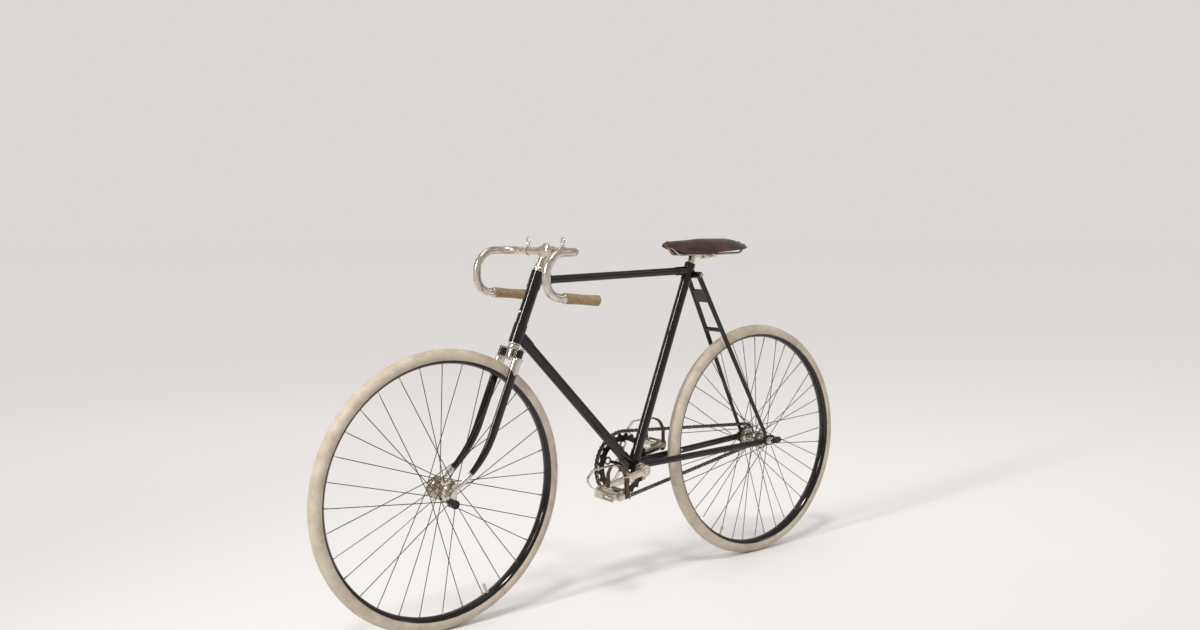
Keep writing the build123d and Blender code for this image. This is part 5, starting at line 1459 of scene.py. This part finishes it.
def dressHead():
    look = headLook
    cups = [turned(onSteering(0, 0, height), steerUp * facing, look["cup"], 48)
            for height, facing in ((look["foot"], -1), (look["top"], 1))]
    dressed = joined("headCupsDressed", cups, nickel, "frame")
    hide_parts("head_cups")
    # the collar: a milled ring, split behind between two ears, which a small bolt draws together
    foot = look["top"] + look["cupHigh"] + look["collarGap"]
    collar = [(foot + along, *sizes) for along, *sizes in look["collar"]]
    collar += [(look["columnTop"], out) for out in look["collarTop"]] + [collar[0]]
    behind = look["earBehind"]
    up = foot + look["earUp"]
    ears = [onSteering(x, y, foot + z) for z in look["earUps"] for x, y in look["ear"]]
    shapes = [turned(steerFoot, steerUp, collar, 144, look["notches"]),
              hexShape(onSteering(behind, look["earNutLeft"], up), (0, 1, 0), *look["earNut"]),
              tubeShape([onSteering(behind, left, up) for left in look["boltEnds"]], look["bolt"], 12),
              (ears, stackedFaces(len(look["ear"]), 2))]
    locked = joined("lockCollarDressed", shapes, nickel, "steering")
    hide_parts("lock_collar")
    out, *stemHead = look["stemBolt"]
    bolts = [hexShape(barCentre + steerUp * out, steerUp, *stemHead)]
    out, *lugHead = look["lugBolt"]
    lugAt = barCentre + steerAhead * out + Vector((0, look["lugLeft"], 0))
    bolts.append(hexShape(lugAt, steerAhead, *lugHead))
    joined("stemBolts", bolts, polished, "steering")


dressHead()
print("steering dressed")

# Axles with cones, washers and nuts, and the nuts of the chain adjusters

threadLook = {"pitch": 0.0010, "depth": 0.0004, "crest": 0.45}
axleLook = {"radius": 0.00475, "washer": 0.0016, "washerEdge": 0.0003, "threadFrom": 0.0002,
            "threadTo": -0.0012, "nut": (0.0078, 0.0008),
            # (along, out) from the axle's end and side, and from a cone's two ends and side
            "tip": ((-0.0010, -0.0006), (0, -0.0016)), "coneFoot": ((0.0003, -0.0008), (0.0010, 0)),
            "coneTop": ((-0.0008, 0), (0, -0.0006))}
axleRows = {"front": {"centre": frontAxle, "body": "steering", "hub": 0.0423, "fork": 0.0469,
                      "nutFace": 0.0522, "end": 0.0642, "cone": 0.008, "washer": 0.0095, "nut": 0.0147},
            "rear": {"centre": rearAxle, "body": "frame", "hub": 0.0475, "fork": 0.0524, "nutFace": 0.0629,
                     "end": 0.0769, "cone": 0.0085, "washer": 0.0105, "nut": 0.0164}}
adjusterLook = {"behind": -0.0372, "left": 0.0602, "nut": (0.0085, 0.0042), "bolt": 0.0023,
                "boltFrom": 0.0040, "boltTo": 0.0072, "boltEnd": 0.0074}


def threaded(start, end, radius):
    # lathe profile of a threaded stretch
    count = int((end - start) / threadLook["pitch"])
    profile = []
    for turn in range(count):
        along = start + (end - start) * turn / count
        profile.append((along, radius - threadLook["depth"]))
        profile.append((along + threadLook["pitch"] * threadLook["crest"], radius))
    return profile


def dressAxle(label):
    look = axleLook
    row = axleRows[label]
    radius = look["radius"]
    face = row["nutFace"]
    hub = row["hub"]
    fork = row["fork"]
    end = row["end"]
    half = [(0, radius), (face, radius)]
    half += threaded(face + look["threadFrom"], end + look["threadTo"], radius)
    half += [(end + along, radius + out) for along, out in look["tip"]] + [(end, 0)]
    profile = [(-along, out) for along, out in reversed(half)] + half[1:]
    cone = [(hub, radius)] + [(hub + along, row["cone"] + out) for along, out in look["coneFoot"]]
    cone += [(fork + along, row["cone"] + out) for along, out in look["coneTop"]]
    cone += [(fork, radius), (hub, radius)]
    back = face + look["washer"]
    wide = row["washer"]
    edge = look["washerEdge"]
    washer = ((face, radius), (face, wide - edge), (face + edge, wide), (back - edge, wide),
              (back, wide - edge), (back, radius), (face, radius))
    shapes = [turned(row["centre"], (0, 1, 0), profile, 24)]
    for hand in (1, -1):
        over = Vector((0, hand, 0))
        shapes += [turned(row["centre"], over, cone, 32), turned(row["centre"], over, washer, 36),
                   hexShape(row["centre"] + over * back, over, row["nut"], *look["nut"])]
    axle = joined(label + "AxleDressed", shapes, nickel, row["body"])
    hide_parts(label + "_axle")


def dressAdjusters():
    look = adjusterLook
    thread = threaded(look["boltFrom"], look["boltTo"], look["bolt"])
    bolt = [(look["boltFrom"], 0)] + thread + [(look["boltEnd"], 0)]
    shapes = []
    for hand in (1, -1):
        behind = rearAxle + Vector((look["behind"], hand * look["left"], 0))
        shapes += [hexShape(behind, (-1, 0, 0), *look["nut"]), turned(behind, (-1, 0, 0), bolt, 14)]
    joined("adjusterNuts", shapes, polished, "frame")


for label in axleRows:
    dressAxle(label)
dressAdjusters()

# Mounting step on the rear axle's left end, and distance counter on the front axle's

stepLook = {"left": 0.0771, "run": (0.006, 0.036, 0.013), "tread": 0.0090, "groove": 0.0008, "grooves": 36}
stepRun = Vector(stepLook["run"])
stepLong = stepRun.length
stepProfile = ((-0.0002, 0), (-0.0002, 0.0054), (0.0096, 0.0052), (0.0100, 0.0080), (0.0108, 0.0088),
               (0.0124, 0.0088), (0.0130, stepLook["tread"], stepLook["groove"]),
               (stepLong - 0.0030, stepLook["tread"], stepLook["groove"]), (stepLong - 0.0024, 0.0086),
               (stepLong - 0.0006, 0.0080), (stepLong, 0.0066), (stepLong, 0))
mountingStep = turnedPiece("mountingStepDressed", rearAxle + Vector((0, stepLook["left"], 0)), stepRun,
                           stepProfile, steel, "frame", 144, 30, stepLook["grooves"])
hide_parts("mounting_step")

counterLook = {"centre": (0.011, 0.0652, -0.020),    # from the front axle
               # (left, out): the drum, and towards the wheel its spindle and star wheel
               "drum": ((0, 0), (0, 0.0104), (0.0008, 0.0110), (0.0030, 0.0110), (0.0034, 0.0104),
                        (0.0190, 0.0104), (0.0194, 0.0110), (0.0246, 0.0110), (0.0256, 0.0104),
                        (0.0260, 0.0090), (0.0256, 0.0080), (0.0256, 0)),
               "spindle": ((0, 0), (0, 0.0022), (0.0200, 0.0022), (0.0204, 0)),
               "star": ((0.0184, 0), (0.0184, 0.0050, 0.0026), (0.0198, 0.0050, 0.0026), (0.0198, 0)),
               "points": 5, "strap": (0.0616, 0.0652), "turnStep": 15,
               # the strap's two round ends: x, z, radius, first turn in degrees
               "ends": ((0, 0, 0.0085, 31), (0.011, -0.020, 0.0080, 211))}


def dressCounter():
    look = counterLook
    centre = frontAxle + Vector(look["centre"])
    shapes = [turned(centre, (0, 1, 0), look["drum"], 40), turned(centre, (0, -1, 0), look["spindle"], 14),
              turned(centre, (0, -1, 0), look["star"], 60, look["points"])]
    drum = joined("distanceCounterDressed", shapes, enamel, "steering")
    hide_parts("distance_counter")
    edge = []
    for x, z, radius, firstTurn in look["ends"]:
        turns = [math.radians(firstTurn + look["turnStep"] * share) for share in range(13)]
        edge += [(x + radius * math.cos(turn), z + radius * math.sin(turn)) for turn in turns]
    points = [frontAxle + Vector((x, left, z)) for left in look["strap"] for x, z in edge]
    strap = joined("distanceCounterStrap", [(points, stackedFaces(len(edge), 2))], nickel, "steering")


dressCounter()

# Small fittings of the frame: seat bolt, bracket cups and oilers

boltLook = {"radius": 0.004, "head": 0.0036, "nut": (0.0125, 0.0048), "threadFrom": 0.001, "threadTo": 0.004,
            "end": 0.0045, "root": 0.002, "headOut": 0.0072,
            # (along, out) from the bolt's end
            "dome": ((-0.0020, 0.0072), (-0.0006, 0.0058), (0, 0.0030), (0, 0))}
cupLook = {"notches": 8, "profile": ((0.0262, 0.0083), (0.0262, 0.0179), (0.0340, 0.0179),
                                     (0.0340, 0.0196, 0.0012), (0.0372, 0.0196, 0.0012), (0.0378, 0.0170),
                                     (0.0380, 0.0120), (0.0380, 0.0083), (0.0262, 0.0083))}
oilerProfile = ((-0.0012, 0), (-0.0012, 0.0040), (0.0008, 0.0040), (0.0014, 0.0034), (0.0026, 0.0032),
                (0.0036, 0.0022), (0.0040, 0))
oilerRows = (
    # name, place, the way it faces, body
    ("frontHubOiler", frontAxle + Vector((0, 0, 0.016)), (0, 0, 1), "front_wheel"),
    ("rearHubOiler", rearAxle + Vector((0, 0, 0.016)), (0, 0, 1), "rear_wheel"),
    ("bracketOiler", bracket + Vector((0.0216, 0.017, -0.0030)), (1, 0, -0.14), "frame"),
    ("headOiler", onSteering(0.01625, 0, 0.46697), steerAhead, "frame"),
)


def dressSeatBolt():
    # a round-headed bolt through the lug's ears, with a nut on its threaded end
    look = boltLook
    low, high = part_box("seat_bolt")
    middle = (low + high) / 2
    half = (high.y - low.y) / 2
    neck = half - look["head"]
    head = [(neck, 0), (neck, look["headOut"])] + [(half + along, out) for along, out in look["dome"]]
    root = look["root"] - half
    shank = [(root, 0), (root, look["radius"]), (half, look["radius"])]
    shank += threaded(half + look["threadFrom"], half + look["threadTo"], look["radius"])
    shank.append((half + look["end"], 0))
    nut = hexShape(middle + Vector((0, neck, 0)), (0, 1, 0), *look["nut"])
    shapes = [turned(middle, (0, -1, 0), head, 32), nut, turned(middle, (0, 1, 0), shank, 20)]
    bolt = joined("seatBoltDressed", shapes, polished, "frame")
    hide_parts("seat_bolt")


dressSeatBolt()
cupShapes = [turned(bracket, (0, hand, 0), cupLook["profile"], 96, cupLook["notches"]) for hand in (1, -1)]
bracketCups = joined("bracketCupsDressed", cupShapes, nickel, "frame")
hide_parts("bracket_cups")
# spring-capped oil holes: low collars with ball-shaped caps
for name, place, out, body in oilerRows:
    turnedPiece(name, place, out, oilerProfile, nickel, body, 20)
print("fittings dressed")
